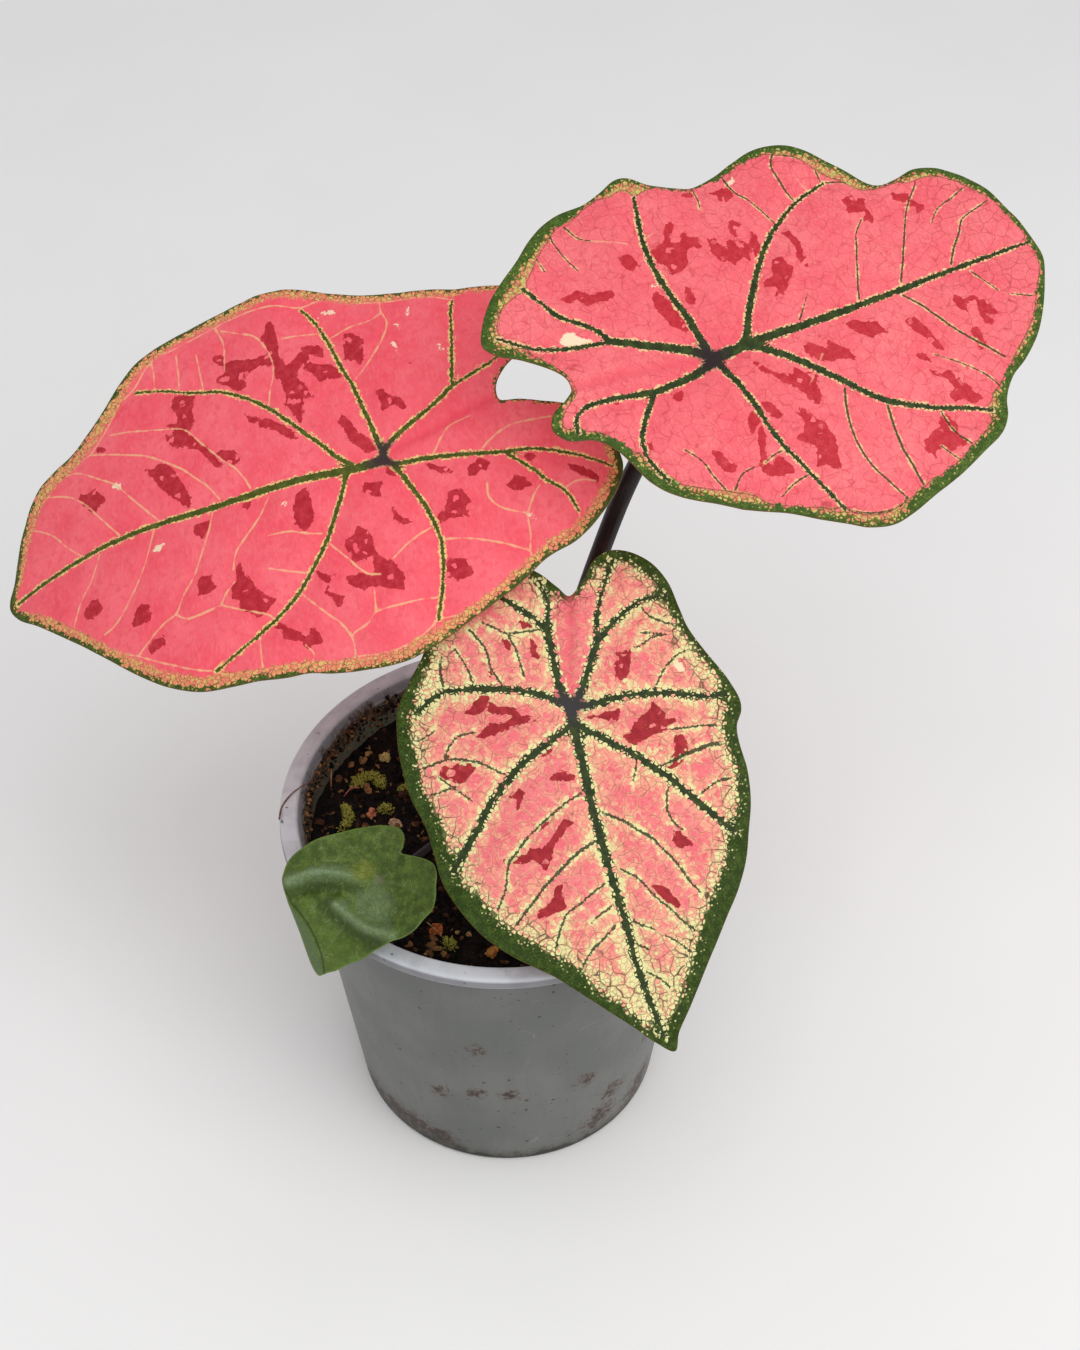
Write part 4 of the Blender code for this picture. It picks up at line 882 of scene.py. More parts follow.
DRAWINGS["small"] = {
    "spacing": 0.4,
    "outline": [
        (31, 0), (29, 2), (26.5, 4.5), (23, 7), (19.5, 10), (15.5, 12), (11, 15), (7.5, 18), (4, 20),
        (0, 20.5), (-3, 21), (-6, 19), (-8.5, 16.5), (-11, 14.5), (-12.5, 11.5), (-12, 8), (-10.5, 4),
        (-9.5, 1), (-11, 0.5), (-13.5, -1), (-14.5, -4), (-12.5, -8), (-9.5, -11.5), (-5.5, -15.5),
        (0, -20), (5, -22.5), (10, -24), (14.5, -23), (18, -20.5), (21, -16.5), (24, -12.5), (27, -8.5),
        (30, -4.5), (31, -2),
    ],
    "main": [
        (0.5, 0.1, [(0, 0), (8, -0.5), (18, -1), (27, -1.5)]),
        (0.4, 0.1, [(1, 0), (5, 6), (9, 12)]),
        (0.4, 0.1, [(1, -0.5), (6, -8), (12, -17)]),
        (0.35, 0.1, [(0, 0), (-3, 8), (-4, 16)]),
        (0.35, 0.1, [(0, 0), (-2, -8), (-3, -15)]),
    ],
    "side": [],
    "threads": [
        [(8, 8), (11.5, 5), (13.5, 0), (13, -4), (11.5, -7)],
        [(3, -5), (6, -10), (9, -15), (13, -19)],
        [(16, 6), (19, 1), (18.5, -6), (17, -11)],
        [(-2, 4), (-6, 9), (-8, 13)],
    ],
    "blotches": [],
    "holes": [],
    "scuffs": [],
    "band": [(0, 0, 0.3, 0.4)],
    # The first crease runs from the notch to the hub; the other two lie beyond the ridges and are darkened as
    # painted shade
    "creases": [
        [(-10.1, 1.7), (-4.5, 1.3), (-1, 0.2)],
        [(15.8, -10), (16, -5), (16.2, 0.5), (15.5, 6), (13.5, 11)],
        [(17.5, -18.5), (12, -13.5), (9.5, -8)],
    ],
    "ridges": [
        [(12, -5.1), (12.3, -0.3), (12.1, 4.3), (10.8, 9.5), (9, 14)],
        [(14.5, -20.1), (10.8, -17.6), (7.7, -14.4), (5, -9.8), (3.6, -6.5)],
    ],
    "fold": [(29.5, 1.5), (19.3, -17.4)],
}

# A stalk rises straight from the tuber, follows the guide points and meets its blade square on from below,
# at three distances from it. radii are those at its foot and at its top, before the swelling.
STALK_BASE_HEIGHT = 95.0
STALK_STRAIGHT_TOP = 103.0
STALK_LANDING = (5.0, 1.5, 0.0)
STALK_OVERLAP = 0.6
STALK_SIDES = 28
STALK_PIECES = 10
STALK_SWELL, STALK_SWELL_REACH = 0.35, 2.0
STALKS = {
    "left": {
        "base": (-4.0, 8.0), "radii": (2.9, 2.1),
        "guides": [(-8.0, 14.5, 126.0), (-17.0, 28.5, 162.0), (-27.0, 39.5, 192.0)],
    },
    "right": {
        "base": (5.0, 8.0), "radii": (3.1, 2.3),
        "guides": [
            (9.0, 13.0, 122.0), (16.5, 23.0, 150.0), (25.5, 32.0, 180.0), (34.5, 37.5, 206.5),
            (46.0, 39.5, 232.0),
        ],
    },
    "front": {
        "base": (1.5, -1.0), "radii": (2.8, 2.1),
        "guides": [(4.0, -1.0, 122.0), (10.5, -4.5, 146.0), (16.5, -9.5, 161.5)],
    },
    "small": {
        "base": (-5.5, 0.5), "radii": (1.7, 1.3),
        "guides": [(-9.0, -5.0, 110.5), (-17.5, -18.5, 118.0), (-26.5, -32.5, 122.5)],
    },
}


# Colours of each material, named by its function, as sRGB values of 0 to 255
COLOURS = {
    "pink_leaf": {
        "crimson_net": (140, 22, 36), "scuff": (250, 236, 200), "rim": (104, 84, 44),
        "underside": (200, 144, 132),
    },
    "green_leaf": {
        # Small leaf: the pale sheen along the ridges and over the cup is painted light; the dark beside the
        # crests, in the creases and along the fold is painted shade
        "ground": (62, 82, 24), "cloud": (88, 110, 38), "ridge_sheen": (128, 150, 112), "crease": (50, 68, 18),
        "lee_shade": (50, 68, 20), "tipward": (96, 120, 44), "olive": (138, 142, 42), "scratch": (150, 168, 136),
        "net": (48, 68, 20), "main_vein": (112, 134, 92), "beyond_fold": (88, 108, 70),
        "fold_shade": (34, 50, 14), "hub": (112, 104, 86), "rim": (110, 136, 58),
        "underside": (126, 146, 100),
    },
    "stalk_skin": {
        "skin": (22, 11, 12), "streak": (50, 27, 27), "mottle": (70, 60, 40),
    },
    "pot_plastic": {
        # The lip's and top's lighter greys are painted light on the wall's plastic, and the pale line under
        # the lip is a painted highlight
        "wall": (94, 97, 95), "wall_light": (107, 108, 106), "streak": (92, 93, 89), "lip": (134, 134, 139),
        "lip_dark": (124, 124, 129), "top": (202, 205, 211), "top_dark": (188, 191, 197),
        "lip_highlight": (172, 172, 172), "scratch": (160, 161, 160), "speck": (46, 36, 34),
        "stain_pale": (94, 80, 70), "stain": (74, 52, 44), "stain_dark": (36, 26, 22),
        "foot_darkening": (66, 62, 46), "foot_line": (20, 20, 12), "soiled": (40, 28, 20),
        "soiled_light": (108, 82, 56), "algae": (104, 108, 92),
    },
    "soil_paint": {
        "peat": (5, 4, 3), "peat_light": (33, 22, 15), "bark": (92, 58, 40), "tan": (156, 116, 72),
        "pale": (184, 152, 100),
    },
    "moss_paint": {
        "base": (92, 86, 26), "leaflet": (170, 168, 74), "top": (200, 198, 110), "dead": (88, 54, 26),
    },
    "chip_paint": {
        "pit": (60, 40, 24),
    },
    "tuber_paint": {
        "skin": (92, 62, 40), "skin_light": (136, 100, 68), "scar": (54, 36, 26),
    },
}


def linear(red, green, blue):
    """An sRGB colour of 0 to 255 as the linear values that shaders take."""
    def one(value):
        value /= 255
        return value / 12.92 if value <= 0.04045 else ((value + 0.055) / 1.055) ** 2.4
    return (one(red), one(green), one(blue), 1.0)


def colours_of(name):
    """The named colours of a material's function, for its shader."""
    return {key: linear(*value) for key, value in COLOURS[name].items()}


class Paint:
    """One material's nodes. A call makes a node and gives back its output. Values are sockets or numbers."""

    def __init__(self, name, roughness=0.5, specular=0.4):
        self.material = bpy.data.materials.new(name)
        self.material.use_nodes = True
        self.tree = self.material.node_tree
        self.shader = self.tree.nodes["Principled BSDF"]
        self.shader.inputs["Specular IOR Level"].default_value = specular
        self.shader.inputs["Roughness"].default_value = roughness

    def plug(self, socket, value):
        if isinstance(value, bpy.types.NodeSocket):
            self.tree.links.new(value, socket)
        else:
            socket.default_value = value

    def math(self, operation, a, b=0.0):
        node = self.tree.nodes.new("ShaderNodeMath")
        node.operation = operation
        self.plug(node.inputs[0], a)
        self.plug(node.inputs[1], b)
        return node.outputs[0]

    def add(self, a, b):
        return self.math("ADD", a, b)

    def less(self, a, b):
        return self.math("SUBTRACT", a, b)

    def times(self, a, b):
        return self.math("MULTIPLY", a, b)

    def smaller(self, a, b):
        return self.math("MINIMUM", a, b)

    def larger(self, a, b):
        return self.math("MAXIMUM", a, b)

    def past(self, value, edge, soft):
        """0 where value is well under edge, 1 where it is well over, smooth over soft to both sides."""
        node = self.tree.nodes.new("ShaderNodeMapRange")
        node.interpolation_type = "SMOOTHSTEP"
        self.plug(node.inputs["Value"], self.less(value, edge))
        node.inputs["From Min"].default_value = -soft
        node.inputs["From Max"].default_value = soft
        return node.outputs["Result"]

    def under(self, value, edge, soft):
        return self.less(1.0, self.past(value, edge, soft))

    def mix(self, first, second, share):
        node = self.tree.nodes.new("ShaderNodeMix")
        node.data_type = "RGBA"
        self.plug(node.inputs[0], share)
        self.plug(node.inputs[6], first)
        self.plug(node.inputs[7], second)
        return node.outputs[2]

    def over(self, colour, tone, share, strength):
        """The colour with the tone laid over it, where share is 1, as thickly as strength says."""
        return self.mix(colour, tone, self.times(share, strength))

    def stored(self, name):
        node = self.tree.nodes.new("ShaderNodeAttribute")
        node.attribute_name = name
        return node.outputs

    def number(self, name):
        return self.stored(name)["Fac"]

    def vector(self, name):
        return self.stored(name)["Vector"]

    def place(self):
        """The point on the object, in millimetres."""
        coordinates = self.tree.nodes.new("ShaderNodeTexCoord")
        return self.stretch(coordinates.outputs["Object"], (1 / MM, 1 / MM, 1 / MM))

    def vector_math(self, operation, vector, other):
        node = self.tree.nodes.new("ShaderNodeVectorMath")
        node.operation = operation
        self.plug(node.inputs[0], vector)
        node.inputs[1].default_value = other
        return node

    def stretch(self, vector, scale):
        return self.vector_math("MULTIPLY", vector, scale).outputs["Vector"]

    def distance(self, vector, point):
        return self.vector_math("DISTANCE", vector, point).outputs["Value"]

    def length(self, vector):
        return self.vector_math("LENGTH", vector, (0.0, 0.0, 0.0)).outputs["Value"]

    def part(self, vector, axis):
        node = self.tree.nodes.new("ShaderNodeSeparateXYZ")
        self.plug(node.inputs[0], vector)
        return node.outputs[axis]

    def line(self, name, spacing):
        """Millimetres to the edge of the nearest line, negative on it. The stored way to the line's middle is
        true only near it, since halfway between two lines the ways of neighbouring points cancel out."""
        way = self.vector(f"{name}_way")
        across = self.length(self.stretch(way, (1.0, 1.0, 0.0)))
        far = self.less(self.number(f"{name}_far"), 0.9 * spacing)
        return self.less(self.larger(across, far), self.part(way, "Z"))

    def noise(self, vector, size, detail=2.0, roughness=0.5):
        """Cloudy noise about 0, with lumps of about size."""
        node = self.tree.nodes.new("ShaderNodeTexNoise")
        self.plug(node.inputs["Vector"], vector)
        node.inputs["Scale"].default_value = 1.0 / size
        node.inputs["Detail"].default_value = detail
        node.inputs["Roughness"].default_value = roughness
        return self.less(node.outputs["Fac"], 0.5)

    def bent(self, vector, size, strength):
        """The vector moved about by noise, so that cells built on it aren't straight."""
        node = self.tree.nodes.new("ShaderNodeTexNoise")
        self.plug(node.inputs["Vector"], vector)
        node.inputs["Scale"].default_value = 1.0 / size
        moved = self.vector_math("MULTIPLY_ADD", node.outputs["Color"], (strength, strength, strength))
        self.plug(moved.inputs[2], vector)
        return moved.outputs["Vector"]

    def cells(self, vector, size, feature="DISTANCE_TO_EDGE"):
        node = self.tree.nodes.new("ShaderNodeTexVoronoi")
        node.feature = feature
        self.plug(node.inputs["Vector"], vector)
        node.inputs["Scale"].default_value = 1.0 / size
        return node

    def edges(self, vector, size):
        """Millimetres to the nearest border between cells of about size."""
        return self.times(self.cells(vector, size).outputs["Distance"], size)

    def dots(self, vector, size):
        """Each cell's millimetres from its centre, and a random number of its own about 0."""
        node = self.cells(vector, size, "F1")
        chance = self.tree.nodes.new("ShaderNodeSeparateColor")
        self.plug(chance.inputs[0], node.outputs["Color"])
        return self.times(node.outputs["Distance"], size), self.less(chance.outputs[0], 0.5)

    def bump(self, height, depth, strength=1.0):
        node = self.tree.nodes.new("ShaderNodeBump")
        node.inputs["Distance"].default_value = depth * MM
        node.inputs["Strength"].default_value = strength
        self.plug(node.inputs["Height"], height)
        self.tree.links.new(node.outputs["Normal"], self.shader.inputs["Normal"])

    def finish(self, colour, roughness=None):
        self.plug(self.shader.inputs["Base Color"], colour)
        if roughness is not None:
            self.plug(self.shader.inputs["Roughness"], roughness)
        return self.material


def catmull_rom(points, pieces, closed):
    """The smooth curve through the points, with so many pieces between each two."""
    count = len(points)
    spans = count if closed else count - 1
    made = []
    for i in range(spans):
        if closed:
            a, b, c, d = (points[(i + k) % count] for k in (-1, 0, 1, 2))
        else:
            a, b, c, d = (points[min(max(i + k, 0), count - 1)] for k in (-1, 0, 1, 2))
        for step in range(pieces):
            s = step / pieces
            made.append(tuple(
                0.5 * (
                    2 * q + (r - p) * s + (2 * p - 5 * q + 4 * r - v) * s * s
                    + (3 * q - p - 3 * r + v) * s ** 3
                )
                for p, q, r, v in zip(a, b, c, d)
            ))
    return made if closed else made + [tuple(points[-1])]


def nearest(places, starts, ends):
    """For each place, its least distance to the segments."""
    found = np.full(len(places), np.inf)
    steps = ends - starts
    lengths = np.maximum((steps ** 2).sum(axis=1), 1e-9)
    for first in range(0, len(places), BLOCK):
        block = places[first:first + BLOCK]
        offset = block[:, None, :] - starts[None, :, :]
        share = np.clip((offset * steps[None]).sum(axis=2) / lengths[None], 0.0, 1.0)
        away = np.linalg.norm(offset - share[:, :, None] * steps[None], axis=2)
        found[first:first + BLOCK] = away.min(axis=1)
    return found


def line_field(places, lines):
    """For each place, the way to the nearest line's middle with the half width there, and how far it is."""
    starts, ends, wide, narrow = [], [], [], []
    for first, last, route in lines:
        curve = np.array(catmull_rom(route, LINE_PIECES, closed=False))
        width = first + (last - first) * np.linspace(0.0, 1.0, len(curve)) ** 0.8
        starts.append(curve[:-1])
        ends.append(curve[1:])
        wide.append(width[:-1])
        narrow.append(width[1:])
    way = np.zeros((len(places), 3))
    far = np.full(len(places), FAR_AWAY)
    if not lines:
        return way, far
    starts, ends = np.concatenate(starts), np.concatenate(ends)
    wide, narrow = np.concatenate(wide), np.concatenate(narrow)
    steps = ends - starts
    lengths = np.maximum((steps ** 2).sum(axis=1), 1e-9)
    for first in range(0, len(places), BLOCK):
        block = places[first:first + BLOCK]
        offset = block[:, None, :] - starts[None, :, :]
        share = np.clip((offset * steps[None]).sum(axis=2) / lengths[None], 0.0, 1.0)
        offset -= share[:, :, None] * steps[None]
        away = np.sqrt((offset ** 2).sum(axis=2))
        width = wide[None] + share * (narrow - wide)[None]
        best = (away - width).argmin(axis=1)
        rows = np.arange(len(block))
        way[first:first + BLOCK, :2] = offset[rows, best]
        way[first:first + BLOCK, 2] = width[rows, best]
        far[first:first + BLOCK] = away[rows, best]
    return way, far


def contained(places, outline):
    """Whether each place is inside the closed outline."""
    inside = np.zeros(len(places), bool)
    x, y = places[:, 0], places[:, 1]
    for (x1, y1), (x2, y2) in zip(outline, np.roll(outline, -1, axis=0)):
        crosses = (y1 > y) != (y2 > y)
        if y1 != y2:
            inside ^= crosses & (x < (x2 - x1) * (y - y1) / (y2 - y1) + x1)
    return inside


def patch_gap(places, patches):
    """Millimetres from each place to the nearest patch's border, negative inside it."""
    gap = np.full(len(places), FAR_AWAY)
    for patch in patches:
        outline = np.array(patch, float)
        away = nearest(places, outline, np.roll(outline, -1, axis=0))
        gap = np.minimum(gap, np.where(contained(places, outline), -away, away))
    return gap


def around(places, keys):
    """Each key's values, blended by how near it is."""
    keys = np.array(keys, float)
    away = np.linalg.norm(places[:, None, :] - keys[None, :, :2], axis=2) + 0.5
    weights = away ** -4
    weights /= weights.sum(axis=1, keepdims=True)
    return weights @ keys[:, 2:]


def wavy(places, size, seed):
    """Smooth noise at each place."""
    return np.array([noise.noise(Vector((t / size, u / size, seed))) for t, u in places])


def new_object(name, mesh, stands_for=()):
    """Adds a piece to the scene and ties it to the frame."""
    obj = bpy.data.objects.new(name, mesh)
    bpy.context.scene.collection.objects.link(obj)
    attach(obj, "root")
    for node in stands_for:
        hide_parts(node)
    return obj


def new_mesh(name, places, faces, material):
    """A smooth mesh of one material, from places in millimetres."""
    mesh = bpy.data.meshes.new(name)
    mesh.from_pydata([tuple(value * MM for value in place) for place in places], [], faces)
    mesh.shade_smooth()
    mesh.materials.append(material)
    return mesh


def store(mesh, name, values):
    """Keeps one number, or one vector, for each point of the mesh."""
    values = np.asarray(values, np.float32)
    if values.ndim == 1:
        mesh.attributes.new(name, "FLOAT", "POINT").data.foreach_set("value", values)
    else:
        mesh.attributes.new(name, "FLOAT_VECTOR", "POINT").data.foreach_set("vector", values.ravel())


def point_outwards(mesh):
    """Turns every face of a closed mesh to point out."""
    shape = bmesh.new()
    shape.from_mesh(mesh)
    bmesh.ops.recalc_face_normals(shape, faces=shape.faces)
    shape.to_mesh(mesh)
    shape.free()


def blade_sheet(drawing):
    """The blade's places in (t, u), its triangles, and how many of the places are on its outline."""
    spacing = drawing["spacing"]
    rough = np.array(catmull_rom(drawing["outline"], OUTLINE_PIECES, closed=True))
    steps = np.linalg.norm(np.roll(rough, -1, axis=0) - rough, axis=1)
    run = np.concatenate([[0.0], np.cumsum(steps)])
    count = int(run[-1] / spacing)
    at = np.linspace(0.0, run[-1], count, endpoint=False)
    looped = np.vstack([rough, rough[:1]])
    outline = np.column_stack([np.interp(at, run, looped[:, k]) for k in (0, 1)])
    low, high = outline.min(axis=0), outline.max(axis=0)
    row_height = spacing * math.sqrt(3) / 2
    rows = np.arange(low[1], high[1], row_height)
    columns = np.arange(low[0], high[0], spacing)
    grid = np.array([(t + 0.5 * spacing * (i % 2), u) for i, u in enumerate(rows) for t in columns])
    grid = grid[contained(grid, outline)]
    clear = nearest(grid, outline, np.roll(outline, -1, axis=0)) > CLEARANCE * spacing
    grid = grid[clear]
    places = [Vector(place) for place in np.vstack([outline, grid])]
    edges = [(i, (i + 1) % count) for i in range(count)]
    places, _, faces, *_ = geometry.delaunay_2d_cdt(places, edges, [], 1, 0.0001)
    return np.array([tuple(place) for place in places]), faces, count


def add_blade(name, material):
    """A thin sheet with sunken veins above and ribs below, and its drawing kept as numbers on its points."""
    leaf, drawing = LEAVES[name], DRAWINGS[name]
    places, faces, rim = blade_sheet(drawing)
    t, u = places[:, 0], places[:, 1]
    outline = places[:rim]
    hub = np.hypot(t, u)
    margin = nearest(places, outline, np.roll(outline, -1, axis=0))
    kept = {}
    gaps = {}
    lines = {"main": drawing["main"], "side": drawing["side"]}
    for key, routes in (
        ("thread", drawing["threads"]), ("crease", drawing["creases"]), ("ridge", drawing.get("ridges", [])),
    ):
        lines[key] = [(0.0, 0.0, route) for route in routes]
    for key in lines:
        way, far = line_field(places, lines[key])
        kept[f"{key}_way"], kept[f"{key}_far"] = way, far
        gaps[key] = np.maximum(far - way[:, 2], 0.0)
    blotch = np.maximum(patch_gap(places, drawing["blotches"]), -patch_gap(places, drawing["holes"]))
    band = around(places, drawing["band"])
    band[:, 0] += drawing.get("spur", 0.0) * np.exp(-(gaps["main"] / SPUR_WIDTH) ** 2)
    kept.update({
        "blotch": blotch, "scuff": patch_gap(places, drawing["scuffs"]), "margin": margin,
        "green": band[:, 0], "speckle": band[:, 1],
    })

    small_vein = np.minimum(gaps["side"], gaps["thread"])
    middle = VEIN_SINK * (0.5 - np.exp(-(gaps["main"] / VEIN_VALLEY) ** 2))
    middle -= SIDE_VEIN_SINK * np.exp(-(small_vein / SIDE_VEIN_VALLEY) ** 2)
    middle += QUILTING * wavy(places, QUILT_SIZE, 2.0) * np.clip(gaps["main"], 0, 1)
    middle -= CREASE_DEPTH * np.exp(-(gaps["crease"] / CREASE_WIDTH) ** 2) * (1 - np.exp(-(hub / 9.0) ** 2))
    middle += RIM_WAVE * wavy(places, RIM_WAVE_SIZE, 7.0) * np.exp(-margin / RIM_WAVE_REACH)
    middle += RIDGE_HEIGHT * np.exp(-(gaps["ridge"] / RIDGE_WIDTH) ** 2)
    if "fold" in drawing:
        start, end = (np.array(place, float) for place in drawing["fold"])
        step = (end - start) / np.linalg.norm(end - start)
        along = ((t - start[0]) * step[0] + (u - start[1]) * step[1]) / np.linalg.norm(end - start)
        beyond = (t - start[0]) * -step[1] + (u - start[1]) * step[0]
        beyond += FOLD_BOW * np.maximum(4 * along * (1 - along), 0)
        middle -= FOLD_SLOPE * np.maximum(beyond, 0)
        middle -= FOLD_GROOVE * np.exp(-(beyond / FOLD_GROOVE_WIDTH) ** 2)
        kept["fold"] = beyond
    rib = RIB_HEIGHT * np.exp(-(gaps["main"] / RIB_WIDTH) ** 2) * np.clip(margin / 8.0, 0.15, 1.0)
    rib += 0.25 * RIB_HEIGHT * np.exp(-(small_vein / SIDE_RIB_WIDTH) ** 2)
    top = leaf.points(t, u, middle + BLADE_THICKNESS / 2)
    bottom = leaf.points(t, u, middle - BLADE_THICKNESS / 2 - rib)

    count = len(places)
    rim_faces = [(i, i + count, (i + 1) % rim + count, (i + 1) % rim) for i in range(rim)]
    turned = [tuple(i + count for i in reversed(face)) for face in faces]
    all_faces = [tuple(face) for face in faces] + turned + rim_faces
    mesh = new_mesh(f"leaf_{name}", np.vstack([top, bottom]), all_faces, material)
    for key, values in kept.items():
        store(mesh, key, np.concatenate([values, values]))
    store(mesh, "below", np.concatenate([np.zeros(count), np.ones(count)]))
    flat = np.column_stack([t, u, np.zeros(count)])
    store(mesh, "leaf", np.vstack([flat, flat + (0, 0, UNDERSIDE_SHIFT)]))
    point_outwards(mesh)
    return new_object(f"leaf_{name}", mesh, [f"blade_{name}"])


# Colours and patterns of the three pink leaves. spikes is how far the dark of a vein runs out along the
# small veins beside it, halo_width how wide the pale edge of a vein is, ragged how uneven that edge is, and
# hub_depth how much deeper the pink is at the hub. strip_cut is how few of the cells inside the margin are
# pale, strip_net how dark the net between them is, and strip_line how dark the line along them is. The shares
# say how strongly a pattern shows, and outer_net how dark the net is near the margin.
LOOKS = {
    "left": {
        "pink": (250, 92, 108), "light": (254, 114, 126), "deep": (238, 68, 90), "crimson": (184, 36, 50),
        "crimson_light": (200, 54, 66), "vein": (70, 80, 24), "vein_light": (94, 102, 38),
        "halo": (242, 208, 134), "thread": (246, 184, 140), "net": (232, 80, 88), "green": (62, 78, 26),
        "green_light": (90, 108, 44), "speckle": (228, 186, 112), "speckle_ground": (238, 136, 108),
        "peach": (250, 140, 134), "hub": (64, 42, 52), "cream_ground": 0, "spikes": 0.35,
        "halo_width": 0.45, "thread_share": 0.85, "net_share": 0.25, "fine_net": 0.5, "hub_depth": 0.15,
        "strip_cut": 0.12, "strip_line": 0, "strip_net": 0.03, "green_share": 0.6, "ragged": 0.7,
        "outer_net": 0,
    },
    "right": {
        "pink": (246, 104, 116), "light": (250, 124, 130), "deep": (234, 82, 98), "crimson": (194, 42, 54),
        "crimson_light": (206, 58, 68), "vein": (42, 54, 24), "vein_light": (62, 78, 34),
        "halo": (240, 204, 148), "thread": (247, 190, 150), "net": (200, 64, 72), "green": (58, 82, 26),
        "green_light": (86, 112, 44), "speckle": (204, 192, 108), "speckle_ground": (216, 130, 100),
        "peach": (248, 150, 140), "hub": (46, 32, 38), "cream_ground": 0, "spikes": 0.45, "halo_width": 0.4,
        "thread_share": 0.5, "net_share": 0.65, "fine_net": 0.6, "hub_depth": 0.4, "strip_cut": 0.05,
        "strip_line": 0.7, "strip_net": 0.2, "green_share": 0.9, "ragged": 0.75, "outer_net": 0.15,
    },
    "front": {
        "pink": (242, 112, 122), "light": (246, 134, 136), "deep": (228, 86, 104), "crimson": (152, 30, 40),
        "crimson_light": (176, 46, 54), "vein": (42, 54, 28), "vein_light": (60, 74, 34),
        "halo": (235, 230, 165), "thread": (238, 200, 150), "net": (136, 56, 46), "green": (42, 61, 14),
        "green_light": (67, 87, 26), "speckle": (235, 230, 165), "speckle_ground": (240, 164, 136),
        "peach": (246, 178, 146), "hub": (58, 54, 58), "cream_ground": 1, "spikes": 1, "halo_width": 0.7,
        "thread_share": 0.6, "net_share": 0.6, "fine_net": 0.6, "hub_depth": 0.2, "strip_cut": -0.2,
        "strip_line": 0, "strip_net": 0.26, "green_share": 1, "ragged": 2.2, "outer_net": 0.85,
    },
}


